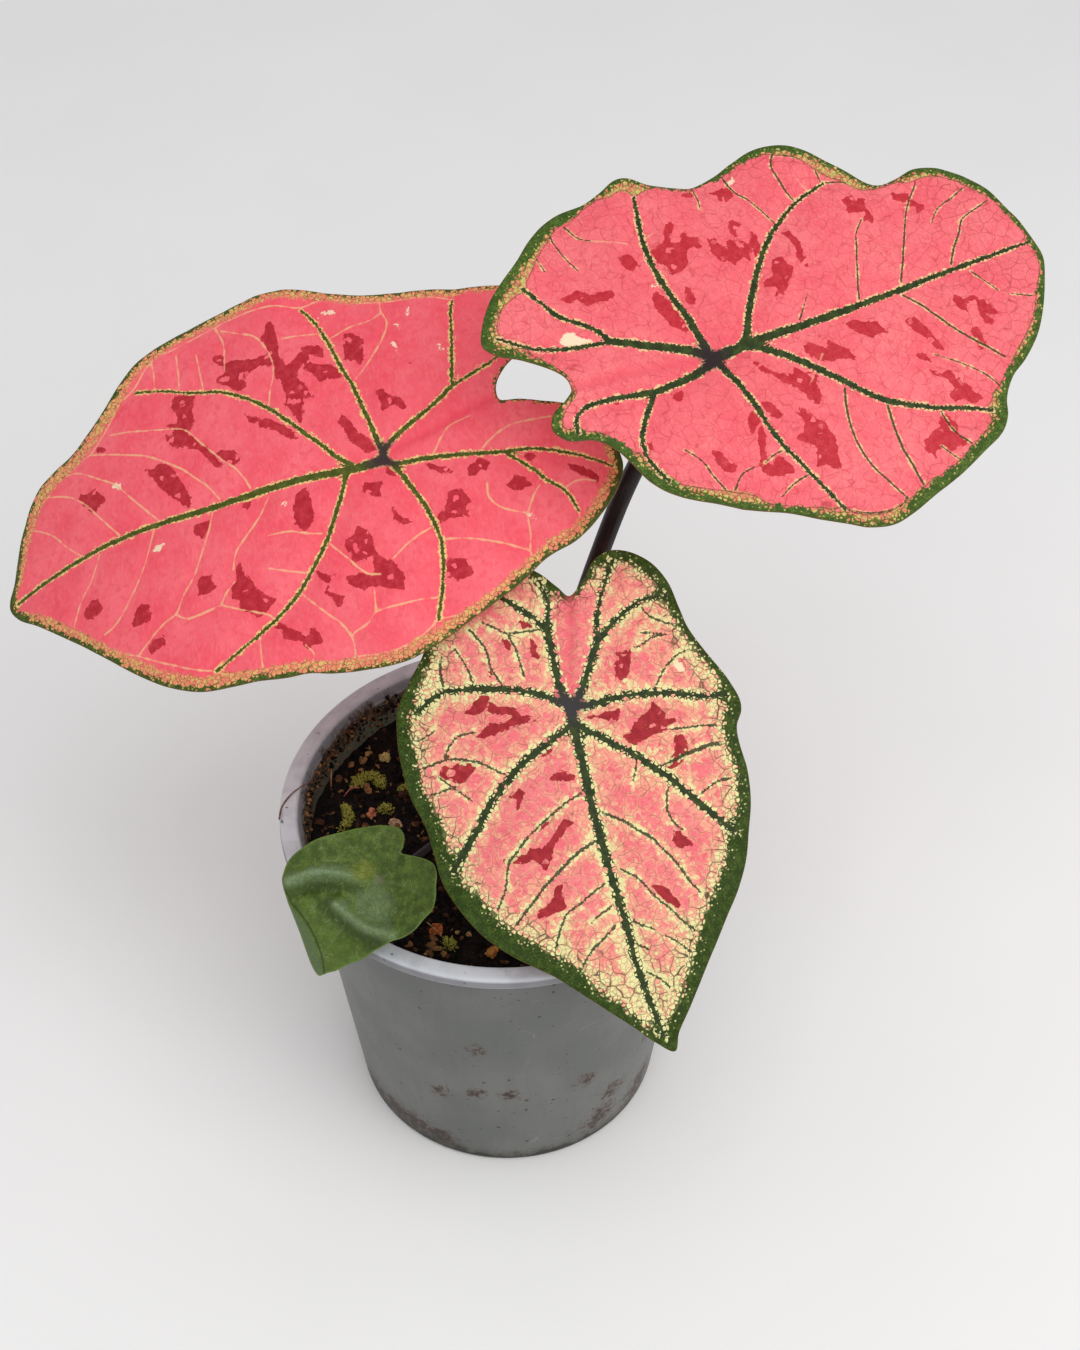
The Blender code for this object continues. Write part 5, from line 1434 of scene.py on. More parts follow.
def pink_leaf(name):
    """Pink ground, crimson blotches, pale-edged dark veins and a speckled green margin."""
    look = {key: linear(*value) if isinstance(value, tuple) else value for key, value in LOOKS[name].items()}
    tones = colours_of("pink_leaf")
    paint = Paint(f"leaf_{name}", roughness=0.55, specular=0.15)
    spacing = DRAWINGS[name]["spacing"]
    at = paint.vector("leaf")
    hub = paint.length(paint.stretch(at, (1.0, 1.0, 0.0)))
    main, side, thread, crease = (paint.line(key, spacing) for key in ("main", "side", "thread", "crease"))
    margin, green = paint.number("margin"), paint.times(paint.number("green"), look["green_share"])
    fine = paint.noise(at, 0.55, 2)
    middling = paint.noise(at, 2.2, 3)
    broad = paint.noise(at, 16.0, 2)
    cell_at = paint.bent(at, 1.6, 0.9)
    cell_edge = paint.edges(cell_at, 1.3)
    chance = paint.dots(cell_at, 1.3)[1]
    small_chance = paint.dots(paint.bent(at, 0.8, 0.5), 0.6)[1]
    net_edge = paint.edges(paint.bent(at, 5.0, 2.4), 3.8)
    spike = paint.larger(paint.less(1.0, paint.times(cell_edge, 4.0)), 0.0)
    inside_green = paint.less(margin, green)
    inner = paint.less(inside_green, paint.number("speckle"))

    # Pink ground with faint wrinkles, deeper towards the hub
    clouds = paint.add(broad, paint.times(middling, 0.5))
    colour = paint.mix(look["pink"], look["light"], paint.past(clouds, 0.0, 0.16))
    colour = paint.over(colour, look["deep"], paint.past(middling, 0.06, 0.12), 0.5)
    colour = paint.over(colour, look["light"], paint.past(chance, 0.25, 0.2), 0.35)
    wrinkles = paint.noise(paint.stretch(paint.bent(at, 12.0, 9.0), (2.2, 0.45, 1.0)), 1.3, 3)
    colour = paint.over(colour, look["peach"], paint.past(wrinkles, 0.10, 0.10), 0.3)
    colour = paint.over(colour, look["deep"], paint.under(hub, 14.0, 16.0), look["hub_depth"])

    # Pale cells crowd round the veins and inside the margin
    pale_edge = paint.add(paint.times(middling, 1.2), paint.times(small_chance, 0.4))
    pale_edge = paint.add(paint.times(chance, look["ragged"]), pale_edge)
    if look["cream_ground"]:
        tipward = paint.past(paint.part(at, "X"), 60.0, 22.0)
        reach = paint.smaller(main, paint.add(paint.times(side, 1.2), 1.2))
        reach = paint.smaller(reach, paint.add(inner, 0.2))
        reach = paint.add(reach, paint.times(paint.under(crease, 3.5, 3.0), 7.0))
        reach = paint.less(paint.add(reach, paint.times(broad, 9.0)), paint.times(tipward, 2.4))
        ragged = paint.add(reach, paint.add(paint.times(chance, 3.8), paint.times(small_chance, 2.2)))
        colour = paint.over(colour, look["peach"], paint.under(ragged, 3.8, 1.0), 0.75)
        colour = paint.over(colour, look["speckle"], paint.under(ragged, 1.1, 0.3), 0.92)
        streak = paint.times(paint.under(paint.add(net_edge, paint.times(chance, 0.8)), 0.35, 0.2), 0.45)
        colour = paint.mix(colour, look["peach"], streak)

    # The net of the smallest veins
    fine_net = paint.under(cell_edge, 0.05, 0.07)
    net = paint.larger(paint.under(net_edge, 0.09, 0.07), paint.times(fine_net, look["fine_net"]))
    net_shows = paint.smaller(paint.times(net, paint.add(0.8, paint.times(middling, 2.0))), 1.0)
    colour = paint.over(colour, look["net"], net_shows, look["net_share"])
    outward = paint.under(paint.add(inner, paint.times(broad, 6.0)), 2.6, 2.4)
    outward = paint.larger(outward, paint.past(paint.part(at, "X"), 70.0, 18.0))
    faint_net = paint.times(paint.under(cell_edge, 0.09, 0.06), 0.45)
    dark_net = paint.larger(faint_net, paint.under(net_edge, 0.14, 0.07))
    outer_net = paint.times(dark_net, paint.times(outward, look["outer_net"]))
    colour = paint.mix(colour, look["vein"], outer_net)

    # Crimson blotches that end at the borders of cells
    torn = paint.add(paint.times(chance, 0.6), paint.times(small_chance, 0.25))
    torn = paint.add(paint.number("blotch"), torn)
    blotched = paint.times(paint.under(torn, 0.0, 0.07), paint.under(chance, 0.465, 0.01))
    crimson = paint.mix(look["crimson"], look["crimson_light"], paint.past(middling, 0.03, 0.15))
    crimson = paint.over(crimson, tones["crimson_net"], fine_net, 0.45)
    colour = paint.over(colour, crimson, blotched, 0.98)
    scuffed = paint.add(paint.number("scuff"), paint.add(paint.times(fine, 1.4), paint.times(chance, 0.8)))
    colour = paint.over(colour, tones["scuff"], paint.under(scuffed, 0.0, 0.15), 0.85)

    # Pale threads, then side veins with a dark middle
    uneven = paint.add(thread, paint.add(paint.times(fine, 0.5), paint.times(middling, -1.1)))
    thread_shows = paint.times(paint.under(uneven, 0.2, 0.18), look["thread_share"])
    colour = paint.mix(colour, look["thread"], thread_shows)
    pale = paint.under(paint.add(side, pale_edge), 0.35 * look["halo_width"], 0.2)
    colour = paint.over(colour, look["halo"], pale, 0.75)
    dark_side = paint.less(paint.add(side, paint.times(fine, 0.3)), paint.times(spike, 0.35 * look["spikes"]))
    colour = paint.over(colour, look["vein"], paint.under(dark_side, 0.0, 0.09), 0.92)

    # The speckled strip inside the margin
    strip_edge = paint.add(inner, paint.add(paint.times(chance, 0.9), paint.times(small_chance, 1.0)))
    strip = paint.under(strip_edge, 0.0, 0.3)
    creamy = paint.past(paint.add(small_chance, paint.times(middling, 1.5)), look["strip_cut"], 0.15)
    speckled = paint.mix(look["speckle_ground"], look["speckle"], creamy)
    border = paint.add(0.05, paint.times(paint.under(inside_green, 0.9, 1.2), look["strip_net"]))
    speckled = paint.over(speckled, look["green"], paint.under(cell_edge, border, 0.06), 0.85)
    colour = paint.mix(colour, speckled, strip)
    along_strip = paint.under(paint.math("ABSOLUTE", paint.add(inner, paint.times(fine, 0.7))), 0.12, 0.1)
    colour = paint.over(colour, look["vein"], along_strip, look["strip_line"])

    # The green margin, with pale dots near its inner side
    lighter = paint.past(paint.add(fine, middling), 0.06, 0.15)
    edge_green = paint.mix(look["green"], look["green_light"], lighter)
    dot, dot_chance = paint.dots(at, 0.95)
    spots = paint.times(paint.under(dot, 0.26, 0.08), paint.past(dot_chance, 0.08, 0.02))
    spots = paint.times(spots, paint.past(inside_green, -1.7, 0.8))
    edge_green = paint.over(edge_green, look["speckle"], spots, 0.75)
    ragged_green = paint.less(paint.add(inside_green, paint.times(chance, 1.4)), paint.times(spike, 0.7))
    colour = paint.mix(colour, edge_green, paint.under(ragged_green, 0.0, 0.1))
    colour = paint.over(colour, tones["rim"], paint.under(margin, 0.16, 0.12), 0.6)

    # Main veins, the dark hub, and painted shade: a deeper pink in the crease from the hub to the notch
    crease_shade = paint.times(paint.under(crease, 1.2, 1.4), paint.past(main, 0.4, 0.4))
    colour = paint.over(colour, look["deep"], crease_shade, 0.5)
    pale = paint.under(paint.add(main, pale_edge), look["halo_width"], 0.2)
    colour = paint.over(colour, look["halo"], pale, 0.9)
    uneven = paint.add(main, paint.add(paint.times(fine, 0.3), paint.times(chance, 0.25 * look["ragged"])))
    dark = paint.under(paint.less(uneven, paint.times(spike, look["spikes"])), 0.0, 0.09)
    vein = paint.mix(look["vein"], look["vein_light"], paint.past(middling, 0.04, 0.15))
    colour = paint.mix(colour, vein, dark)
    at_hub = paint.under(paint.add(hub, paint.times(fine, 3.0)), 4.6, 3.0)
    at_hub = paint.times(at_hub, paint.under(main, 0.5, 0.4))
    colour = paint.over(colour, look["hub"], at_hub, 0.92)

    # The underside is paler and duller
    dull = paint.mix(colour, tones["underside"], 0.45)
    colour = paint.mix(colour, dull, paint.number("below"))

    paint.bump(paint.add(wrinkles, middling), 0.3, 0.5)
    return paint.finish(colour, paint.add(0.52, paint.times(fine, 0.3)))


def green_leaf():
    """The small young leaf: satin green, with painted sheen along its ridges and over its cup, painted shade
    beside its crests, in its creases and along its fold, and an olive hub.
    """
    tones = colours_of("green_leaf")
    paint = Paint("leaf_small", roughness=0.5, specular=0.3)
    spacing = DRAWINGS["small"]["spacing"]
    at = paint.vector("leaf")
    fine = paint.noise(at, 0.45, 3)
    middling = paint.noise(at, 3.0, 3)
    hub = paint.length(paint.stretch(at, (1.0, 1.0, 0.0)))
    main, ridge, crease = (paint.line(key, spacing) for key in ("main", "ridge", "crease"))
    net = paint.under(paint.edges(paint.bent(at, 2.0, 1.2), 1.6), 0.06, 0.1)
    clouds = paint.past(paint.add(middling, paint.times(fine, 0.4)), 0.0, 0.16)
    colour = paint.mix(tones["ground"], tones["cloud"], clouds)
    # Painted sheen: paler grey-green along the ridges and over the raised cup near the hub
    cup_sheen = paint.under(paint.add(paint.distance(at, (7.0, 4.0, 0.0)), paint.times(middling, 6.0)), 6.0, 3.0)
    ridge_sheen = paint.under(paint.add(ridge, paint.times(middling, 5.0)), 1.4, 1.8)
    ridge_sheen = paint.larger(ridge_sheen, paint.times(cup_sheen, 0.55))
    colour = paint.over(colour, tones["ridge_sheen"], ridge_sheen, 0.75)
    # Painted shade: darker green in the creases, the notch's groove and the two lines beyond the ridges
    colour = paint.over(colour, tones["crease"], paint.under(crease, 0.9, 1.4), 0.65)
    # Painted shade: darker green on the far side of each crest, where the blade falls away
    past_ridge = paint.past(paint.part(paint.vector("ridge_way"), "X"), 0.4, 0.8)
    lee_shade = paint.under(paint.math("ABSOLUTE", paint.less(paint.add(ridge, middling), 3.4)), 1.2, 1.4)
    colour = paint.over(colour, tones["lee_shade"], paint.times(lee_shade, past_ridge), 0.65)
    tipward = paint.past(paint.part(at, "X"), 18.0, 6.0)
    colour = paint.over(colour, tones["tipward"], tipward, 0.5)
    olive = paint.add(paint.distance(at, (0.7, -4.6, 0.0)), paint.times(middling, 10.0))
    olive = paint.under(olive, 2.4, 2.4)
    colour = paint.over(colour, tones["olive"], olive, 0.5)
    scratch = paint.edges(paint.stretch(paint.bent(at, 4.0, 3.0), (0.5, 1.8, 1.0)), 5.0)
    scratch = paint.under(scratch, 0.05, 0.06)
    scratch = paint.times(scratch, paint.past(middling, 0.04, 0.06))
    colour = paint.over(colour, tones["scratch"], scratch, 0.5)
    colour = paint.over(colour, tones["net"], net, 0.35)
    colour = paint.over(colour, tones["main_vein"], paint.under(main, 0.1, 0.3), 0.2)
    beyond = paint.number("fold")
    colour = paint.over(colour, tones["beyond_fold"], paint.past(beyond, 0.8, 0.6), 0.7)
    # Painted shade: a dark line along the fold, where the strip bends down
    fold_shade = paint.under(paint.math("ABSOLUTE", beyond), 0.3, 0.4)
    colour = paint.over(colour, tones["fold_shade"], fold_shade, 0.8)
    colour = paint.over(colour, tones["hub"], paint.under(hub, 1.2, 0.9), 0.6)
    at_rim = paint.under(paint.number("margin"), 0.3, 0.2)
    colour = paint.over(colour, tones["rim"], at_rim, 0.7)
    dull = paint.mix(colour, tones["underside"], 0.5)
    colour = paint.mix(colour, dull, paint.number("below"))
    wrinkles = paint.noise(paint.stretch(paint.bent(at, 6.0, 5.0), (1.6, 0.6, 1.0)), 1.4, 3)
    paint.bump(paint.add(paint.times(net, -0.3), paint.add(wrinkles, middling)), 0.4, 0.7)
    return paint.finish(colour, paint.add(0.48, paint.times(fine, 0.2)))


def stalk_skin():
    """Black-purple skin with fine streaks along the stalk."""
    tones = colours_of("stalk_skin")
    paint = Paint("stalk_skin", roughness=0.42, specular=0.25)
    at = paint.vector("along")
    streaks = paint.noise(paint.stretch(at, (1.0, 1.0, 0.06)), 0.7, 3)
    mottle = paint.noise(at, 4.0, 3)
    streaked = paint.past(paint.add(streaks, paint.times(mottle, 0.6)), 0.12, 0.14)
    colour = paint.mix(tones["skin"], tones["streak"], streaked)
    colour = paint.over(colour, tones["mottle"], paint.past(mottle, 0.22, 0.1), 0.35)
    paint.bump(streaks, 0.15, 0.5)
    return paint.finish(colour, paint.add(0.4, paint.times(mottle, 0.25)))


def round_bar(path, sides, side, radius_at):
    """Points and faces of a closed bar along the path. radius_at takes a step's number and an angle, and side
    is where each ring's first point lies."""
    verts, faces = [], []
    for i, place in enumerate(path):
        ahead = (path[min(i + 1, len(path) - 1)] - path[max(i - 1, 0)]).normalized()
        side = (side - side.dot(ahead) * ahead).normalized()
        other = ahead.cross(side)
        for k in range(sides):
            angle = 2 * math.pi * k / sides
            verts.append(place + (side * math.cos(angle) + other * math.sin(angle)) * radius_at(i, angle))
    for i in range(len(path) - 1):
        for k in range(sides):
            a, b = i * sides + k, i * sides + (k + 1) % sides
            faces.append((a, b, b + sides, a + sides))
    faces.append(tuple(reversed(range(sides))))
    faces.append(tuple(range((len(path) - 1) * sides, len(path) * sides)))
    return verts, faces


def add_stalk(name, material):
    """A tapering stalk that swells a little where it meets its blade."""
    leaf, stalk = LEAVES[name], STALKS[name]
    x, y = stalk["base"]
    straight = [(x, y, STALK_BASE_HEIGHT), (x, y, STALK_STRAIGHT_TOP)]
    hub = np.array([0.0])
    under = BLADE_THICKNESS / 2 + VEIN_SINK * 0.5 + RIB_HEIGHT * 0.3
    landing = [tuple(leaf.points(hub, hub, STALK_OVERLAP - under - rest)[0]) for rest in STALK_LANDING]
    guides = straight + stalk["guides"] + landing
    route = [Vector(place) for place in catmull_rom(guides, STALK_PIECES, closed=False)]
    runs = np.cumsum([0.0] + [(b - a).length for a, b in zip(route, route[1:])])
    low, high = stalk["radii"]
    taper = low + (high - low) * np.linspace(0.0, 1.0, len(route)) ** 0.8
    radii = taper * (1.0 + STALK_SWELL * np.exp((runs - runs[-1]) / STALK_SWELL_REACH))
    along = []

    def ridged(i, angle):
        along.append((radii[i] * math.cos(angle), radii[i] * math.sin(angle), runs[i]))
        return radii[i] * (1.0 + 0.02 * math.sin(7 * angle + 0.05 * runs[i]) + 0.015 * math.sin(11 * angle))

    verts, faces = round_bar(route, STALK_SIDES, Vector((1.0, 0.0, 0.0)), ridged)
    mesh = new_mesh(f"petiole_{name}", verts, faces, material)
    store(mesh, "along", along)
    return new_object(f"petiole_{name}", mesh, [f"stalk_{name}"])


def inner_wall_radius(z):
    """The inside of the pot's body at a height."""
    share = (z - FOOT_TOP) / (RING_HEIGHT - FOOT_TOP)
    return BASE_RADIUS + (BODY_TOP_RADIUS - RING_STEP - BASE_RADIUS) * share - WALL


def pot_profile():
    """Down the outside from the rim's inner edge, over the lip and the foot, and back up the inside."""
    lip_bottom = POT_HEIGHT - LIP_HEIGHT
    under_rim = POT_HEIGHT - 1.6
    lip_inner = RIM_RADIUS - 1.3
    outside = [
        (RIM_INNER_RADIUS + 0.5, POT_HEIGHT - 0.05), (RIM_INNER_RADIUS + 1.2, POT_HEIGHT),
        (RIM_RADIUS - 1.6, POT_HEIGHT), (RIM_RADIUS - 0.9, POT_HEIGHT - 0.1),
        (RIM_RADIUS - 0.35, POT_HEIGHT - 0.4), (RIM_RADIUS - 0.1, POT_HEIGHT - 0.9),
        (RIM_RADIUS - 0.1, lip_bottom + 0.9), (RIM_RADIUS, lip_bottom + 0.6),
        (RIM_RADIUS, lip_bottom + 0.2), (RIM_RADIUS - 0.3, lip_bottom), (lip_inner + 0.3, lip_bottom),
        (lip_inner, lip_bottom + 0.5), (lip_inner, under_rim), (BODY_TOP_RADIUS + 0.9, under_rim),
        (BODY_TOP_RADIUS + 0.2, under_rim - 0.8), (BODY_TOP_RADIUS, RING_HEIGHT + 0.7),
        (BODY_TOP_RADIUS - 0.15, RING_HEIGHT + 0.25), (BODY_TOP_RADIUS - RING_STEP, RING_HEIGHT),
    ]
    wall_top, wall_foot = (BODY_TOP_RADIUS - RING_STEP, RING_HEIGHT), (BASE_RADIUS, FOOT_TOP)
    wall = [
        tuple(a + (b - a) * i / OUTER_STEPS for a, b in zip(wall_top, wall_foot))
        for i in range(1, OUTER_STEPS + 1)
    ]
    foot = [
        (BASE_RADIUS - 0.15, 1.4), (BASE_RADIUS - 0.5, 0.7), (BASE_RADIUS - 0.9, 0.2),
        (BASE_RADIUS - 1.4, 0.0),
        (FOOT_RING_RADIUS, 0.0), (FOOT_RING_RADIUS - 0.8, 0.7), (FOOT_RING_RADIUS - 2.0, BASE_RECESS - 0.3),
        (FOOT_RING_RADIUS - 3.0, BASE_RECESS), (CENTRE_PAD_RADIUS + 2.8, BASE_RECESS),
        (CENTRE_PAD_RADIUS + 1.6, BASE_RECESS - 0.3), (CENTRE_PAD_RADIUS + 0.8, 0.7),
        (CENTRE_PAD_RADIUS, 0.0), (0.0, 0.0),
    ]
    recess_top = BASE_RECESS + WALL
    floor = [
        (0.0, WALL), (CENTRE_PAD_RADIUS - 0.6, WALL), (CENTRE_PAD_RADIUS + 1.1, recess_top - 0.3),
        (CENTRE_PAD_RADIUS + 2.4, recess_top), (FOOT_RING_RADIUS - 2.6, recess_top),
        (FOOT_RING_RADIUS - 1.3, recess_top - 0.3), (FOOT_RING_RADIUS + 0.5, WALL),
        (BASE_RADIUS - WALL - 0.8, WALL), (inner_wall_radius(FOOT_TOP), FOOT_TOP + 0.4),
    ]
    inner = [(inner_wall_radius(z), z) for z in np.linspace(INNER_START, RING_HEIGHT, INNER_STEPS)]
    inner += [
        (RIM_INNER_RADIUS - 1.6, under_rim - 1.2), (RIM_INNER_RADIUS - 0.9, POT_HEIGHT - 1.6),
        (RIM_INNER_RADIUS - 0.5, POT_HEIGHT - 0.9), (RIM_INNER_RADIUS - 0.1, POT_HEIGHT - 0.35),
        (RIM_INNER_RADIUS + 0.15, POT_HEIGHT - 0.15),
    ]
    return outside + wall + foot, floor + inner


def pot_plastic():
    """Satin grey plastic with painted light on its lip and top, darker towards the foot, brown stains,
    specks, scratches and a dirty inner wall.
    """
    tones = colours_of("pot_plastic")
    paint = Paint("pot_plastic", roughness=0.45, specular=0.35)
    at = paint.place()
    height = paint.part(at, "Z")
    fine = paint.noise(at, 1.2, 3)
    middling = paint.noise(at, 6.0, 4)
    broad = paint.noise(at, 30.0, 2)
    inner = paint.number("inner")
    colour = paint.mix(tones["wall"], tones["wall_light"], paint.past(broad, 0.0, 0.15))
    streaks = paint.noise(paint.stretch(at, (1.0, 1.0, 0.10)), 3.0, 3)
    colour = paint.over(colour, tones["streak"], paint.past(streaks, 0.10, 0.12), 0.35)
    # Painted light: the lip and, lighter still, the rim's top are lighter copies of the wall's grey plastic,
    # where the light falls on them
    lip = paint.mix(tones["lip"], tones["lip_dark"], paint.past(middling, 0.08, 0.12))
    colour = paint.mix(colour, lip, paint.past(height, POT_HEIGHT - 4.0, 0.3))
    top = paint.mix(tones["top"], tones["top_dark"], paint.past(middling, 0.04, 0.12))
    colour = paint.mix(colour, top, paint.past(height, POT_HEIGHT - 0.9, 0.5))
    # Painted highlight: a pale line along the lip's lower edge
    lip_highlight = paint.under(paint.math("ABSOLUTE", paint.less(height, POT_HEIGHT - LIP_HEIGHT)), 0.35, 0.2)
    colour = paint.over(colour, tones["lip_highlight"], lip_highlight, 0.5)
    scratches = paint.edges(paint.stretch(paint.bent(at, 9.0, 4.0), (0.35, 0.35, 1.6)), 16.0)
    scratches = paint.under(scratches, 0.05, 0.07)
    scratch_shows = paint.times(scratches, paint.past(middling, 0.10, 0.08))
    colour = paint.over(colour, tones["scratch"], scratch_shows, 0.4)

    # Specks everywhere, more of them low down
    low_down = paint.under(height, 38.0, 22.0)
    for cell, least, share in ((4.2, 0.27, 0.85), (2.3, 0.25, 0.75)):
        dot, chance = paint.dots(paint.bent(at, 2.0, 1.2), cell)
        often = paint.less(least, paint.times(low_down, 0.2))
        speck_size = paint.add(0.075 * cell, paint.times(chance, 0.14 * cell))
        specks = paint.under(paint.add(dot, paint.times(fine, 0.9)), speck_size, 0.14)
        specks = paint.times(specks, paint.past(chance, often, 0.02))
        colour = paint.over(colour, tones["speck"], specks, share)

    # Rusty stains where soil has splashed
    splash = 0.0
    for place, reach in SPLASHES:
        splash = paint.larger(splash, paint.under(paint.distance(at, place), reach * 0.7, reach * 0.7))
    grain = paint.noise(at, 1.8, 4, 0.7)
    stain = paint.add(grain, paint.add(paint.times(middling, 0.35), paint.times(splash, 0.35)))
    stain = paint.add(stain, paint.times(paint.under(height, 10.0, 8.0), 0.14))
    colour = paint.over(colour, tones["stain_pale"], paint.past(stain, 0.21, 0.06), 0.5)
    colour = paint.over(colour, tones["stain"], paint.past(stain, 0.29, 0.03), 0.85)
    colour = paint.over(colour, tones["stain_dark"], paint.past(stain, 0.36, 0.03), 0.9)
    # Darker towards the foot, and nearly black along its lowest 3 mm
    foot_darkening = paint.add(height, paint.add(paint.times(middling, 12.0), paint.times(fine, 5.0)))
    colour = paint.over(colour, tones["foot_darkening"], paint.under(foot_darkening, 5.0, 2.6), 0.7)
    colour = paint.over(colour, tones["foot_line"], paint.under(foot_darkening, 3.0, 1.2), 0.9)

    # Inside: brown crumbs over grey-green algae
    dirt_line = paint.add(height, paint.add(paint.times(middling, 12.0), paint.times(fine, 4.0)))
    dirty = paint.times(inner, paint.under(dirt_line, 111.5, 1.8))
    earthy = paint.past(paint.add(fine, paint.times(grain, 0.5)), 0.02, 0.14)
    soiled = paint.mix(tones["soiled"], tones["soiled_light"], earthy)
    algae_line = paint.add(height, paint.times(middling, 9.0))
    algae = paint.times(paint.under(algae_line, 107.0, 1.2), paint.past(paint.part(at, "Y"), 8.0, 12.0))
    soiled = paint.over(soiled, tones["algae"], algae, 0.75)
    colour = paint.over(colour, soiled, dirty, 0.94)
    roughness = paint.add(0.45, paint.add(paint.times(fine, 0.15), paint.times(dirty, 0.4)))
    paint.bump(paint.times(fine, paint.add(0.3, paint.times(inner, 3.0))), 0.3, 0.4)
    return paint.finish(colour, roughness)


def add_pot():
    """The moulded pot, turned from its outline, with drain holes drilled in its base."""
    outer, inner = pot_profile()
    profile = outer + inner
    # The look of the inner wall fades out over the rim's inner edge
    inside = [0.0] * len(outer) + [1.0] * len(inner)
    inside[-3:] = [0.6, 0.3, 0.0]
    verts, flags, faces, rings = [], [], [], []
    for (radius, z), flag in zip(profile, inside):
        if radius == 0.0:
            rings.append([len(verts)] * POT_SEGMENTS)
            verts.append((0.0, 0.0, z))
            flags.append(flag)
            continue
        rings.append(list(range(len(verts), len(verts) + POT_SEGMENTS)))
        for k in range(POT_SEGMENTS):
            angle = 2 * math.pi * k / POT_SEGMENTS
            verts.append((radius * math.cos(angle), radius * math.sin(angle), z))
            flags.append(flag)
    for lower, upper in zip(rings, rings[1:] + rings[:1]):
        for k in range(POT_SEGMENTS):
            corners = (lower[k], upper[k], upper[(k + 1) % POT_SEGMENTS], lower[(k + 1) % POT_SEGMENTS])
            face = tuple(dict.fromkeys(corners))
            if len(face) > 2:
                faces.append(face)
    mesh = new_mesh("nursery_pot", verts, faces, pot_plastic())
    store(mesh, "inner", flags)
    point_outwards(mesh)
    pot = new_object("nursery_pot", mesh, ["pot"])

    drills = bmesh.new()
    for i in range(DRAIN_HOLES):
        angle = 2 * math.pi * (i + 0.5) / DRAIN_HOLES
        x, y = DRAIN_CIRCLE_RADIUS * math.cos(angle), DRAIN_CIRCLE_RADIUS * math.sin(angle)
        bmesh.ops.create_cone(
            drills, cap_ends=True, segments=DRAIN_HOLE_SEGMENTS, radius1=DRAIN_HOLE_RADIUS * MM,
            radius2=DRAIN_HOLE_RADIUS * MM, depth=DRILL_LENGTH * MM,
            matrix=Matrix.Translation(Vector((x, y, BASE_RECESS)) * MM),
        )
    drill_mesh = bpy.data.meshes.new("drills")
    drills.to_mesh(drill_mesh)
    drills.free()
    drill = bpy.data.objects.new("drills", drill_mesh)
    bpy.context.scene.collection.objects.link(drill)
    boolean = pot.modifiers.new("Drain holes", "BOOLEAN")
    boolean.operation = "DIFFERENCE"
    boolean.solver = "EXACT"
    boolean.object = drill
    bpy.context.view_layer.update()
    made = bpy.data.meshes.new_from_object(pot.evaluated_get(bpy.context.evaluated_depsgraph_get()))
    pot.modifiers.clear()
    pot.data = made
    bpy.data.objects.remove(drill)
    made.shade_smooth()
    made.set_sharp_from_angle(angle=math.radians(POT_SHARP_ANGLE))
    return pot


def soil_height(x, y):
    """The top of the potting mix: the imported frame's lumps, and the crumbs on them."""
    return SOIL_LEVEL + sum(
        height * noise.noise(Vector((x / size, y / size, seed))) for size, seed, height in SOIL_LUMPS
    )


def soil_paint(name):
    """Black-brown peat and bark, with reddish and tan bits. tint says which crumb is which."""
    tones = colours_of("soil_paint")
    paint = Paint(name, roughness=0.85, specular=0.2)
    at = paint.place()
    fine = paint.noise(at, 0.7, 3)
    middling = paint.noise(at, 4.0, 3)
    tint = paint.add(paint.number("tint"), paint.times(fine, 0.25))
    colour = paint.mix(tones["peat"], tones["peat_light"], paint.past(paint.add(fine, middling), 0.06, 0.2))
    colour = paint.over(colour, tones["bark"], paint.past(tint, 0.70, 0.08), 0.8)
    colour = paint.over(colour, tones["tan"], paint.past(tint, 0.83, 0.04), 0.85)
    colour = paint.over(colour, tones["pale"], paint.past(tint, 0.98, 0.02), 0.85)
    paint.bump(paint.add(fine, middling), 0.6, 0.8)
    return paint.finish(colour)


def add_soil(material):
    """The block of mix down to the pot's floor."""
    radius = inner_wall_radius(SOIL_LEVEL) + 0.1
    ring_count = int(2 * math.pi * radius / SOIL_SPACING)
    ring = [
        (radius * math.cos(2 * math.pi * k / ring_count), radius * math.sin(2 * math.pi * k / ring_count))
        for k in range(ring_count)
    ]
    row_height = SOIL_SPACING * math.sqrt(3) / 2
    rows = int(radius / row_height) + 1
    columns = int(radius / SOIL_SPACING) + 1
    inner = []
    for row in range(-rows, rows + 1):
        for column in range(-columns, columns + 1):
            x, y = (column + 0.5 * (row % 2)) * SOIL_SPACING, row * row_height
            if math.hypot(x, y) < radius - CLEARANCE * SOIL_SPACING:
                inner.append((x, y))
    edges = [(i, (i + 1) % ring_count) for i in range(ring_count)]
    places, _, faces, *_ = geometry.delaunay_2d_cdt([Vector(p) for p in ring + inner], edges, [], 1, 0.0001)
    verts = [(p.x, p.y, soil_height(p.x, p.y)) for p in places]
    count = len(verts)
    floor = BASE_RECESS + WALL + GAP
    floor_radius = inner_wall_radius(floor) - GAP
    verts += [(x / radius * floor_radius, y / radius * floor_radius, floor) for x, y in ring]
    faces = [tuple(face) for face in faces]
    faces += [(i, i + count, (i + 1) % ring_count + count, (i + 1) % ring_count) for i in range(ring_count)]
    faces.append(tuple(range(count, count + ring_count)))
    mesh = new_mesh("potting_mix", verts, faces, material)
    store(mesh, "tint", [0.45 + 0.5 * noise.noise(Vector((x / 1.7, y / 1.7, 5.0))) for x, y, _ in verts])
    point_outwards(mesh)
    return new_object("potting_mix", mesh, ["soil"])


def crumb_shape(seed, subdivisions, roughness):
    """A unit lump of irregular shape: its points and triangles."""
    ball = bmesh.new()
    bmesh.ops.create_icosphere(ball, subdivisions=subdivisions, radius=1.0)
    points = []
    for vert in ball.verts:
        bump = 1.0 + roughness * noise.noise(vert.co * 1.6 + Vector((seed * 7.3, 0.0, 0.0)))
        points.append(vert.co * bump)
    faces = [tuple(vert.index for vert in face.verts) for face in ball.faces]
    ball.free()
    return np.array([tuple(point) for point in points]), faces


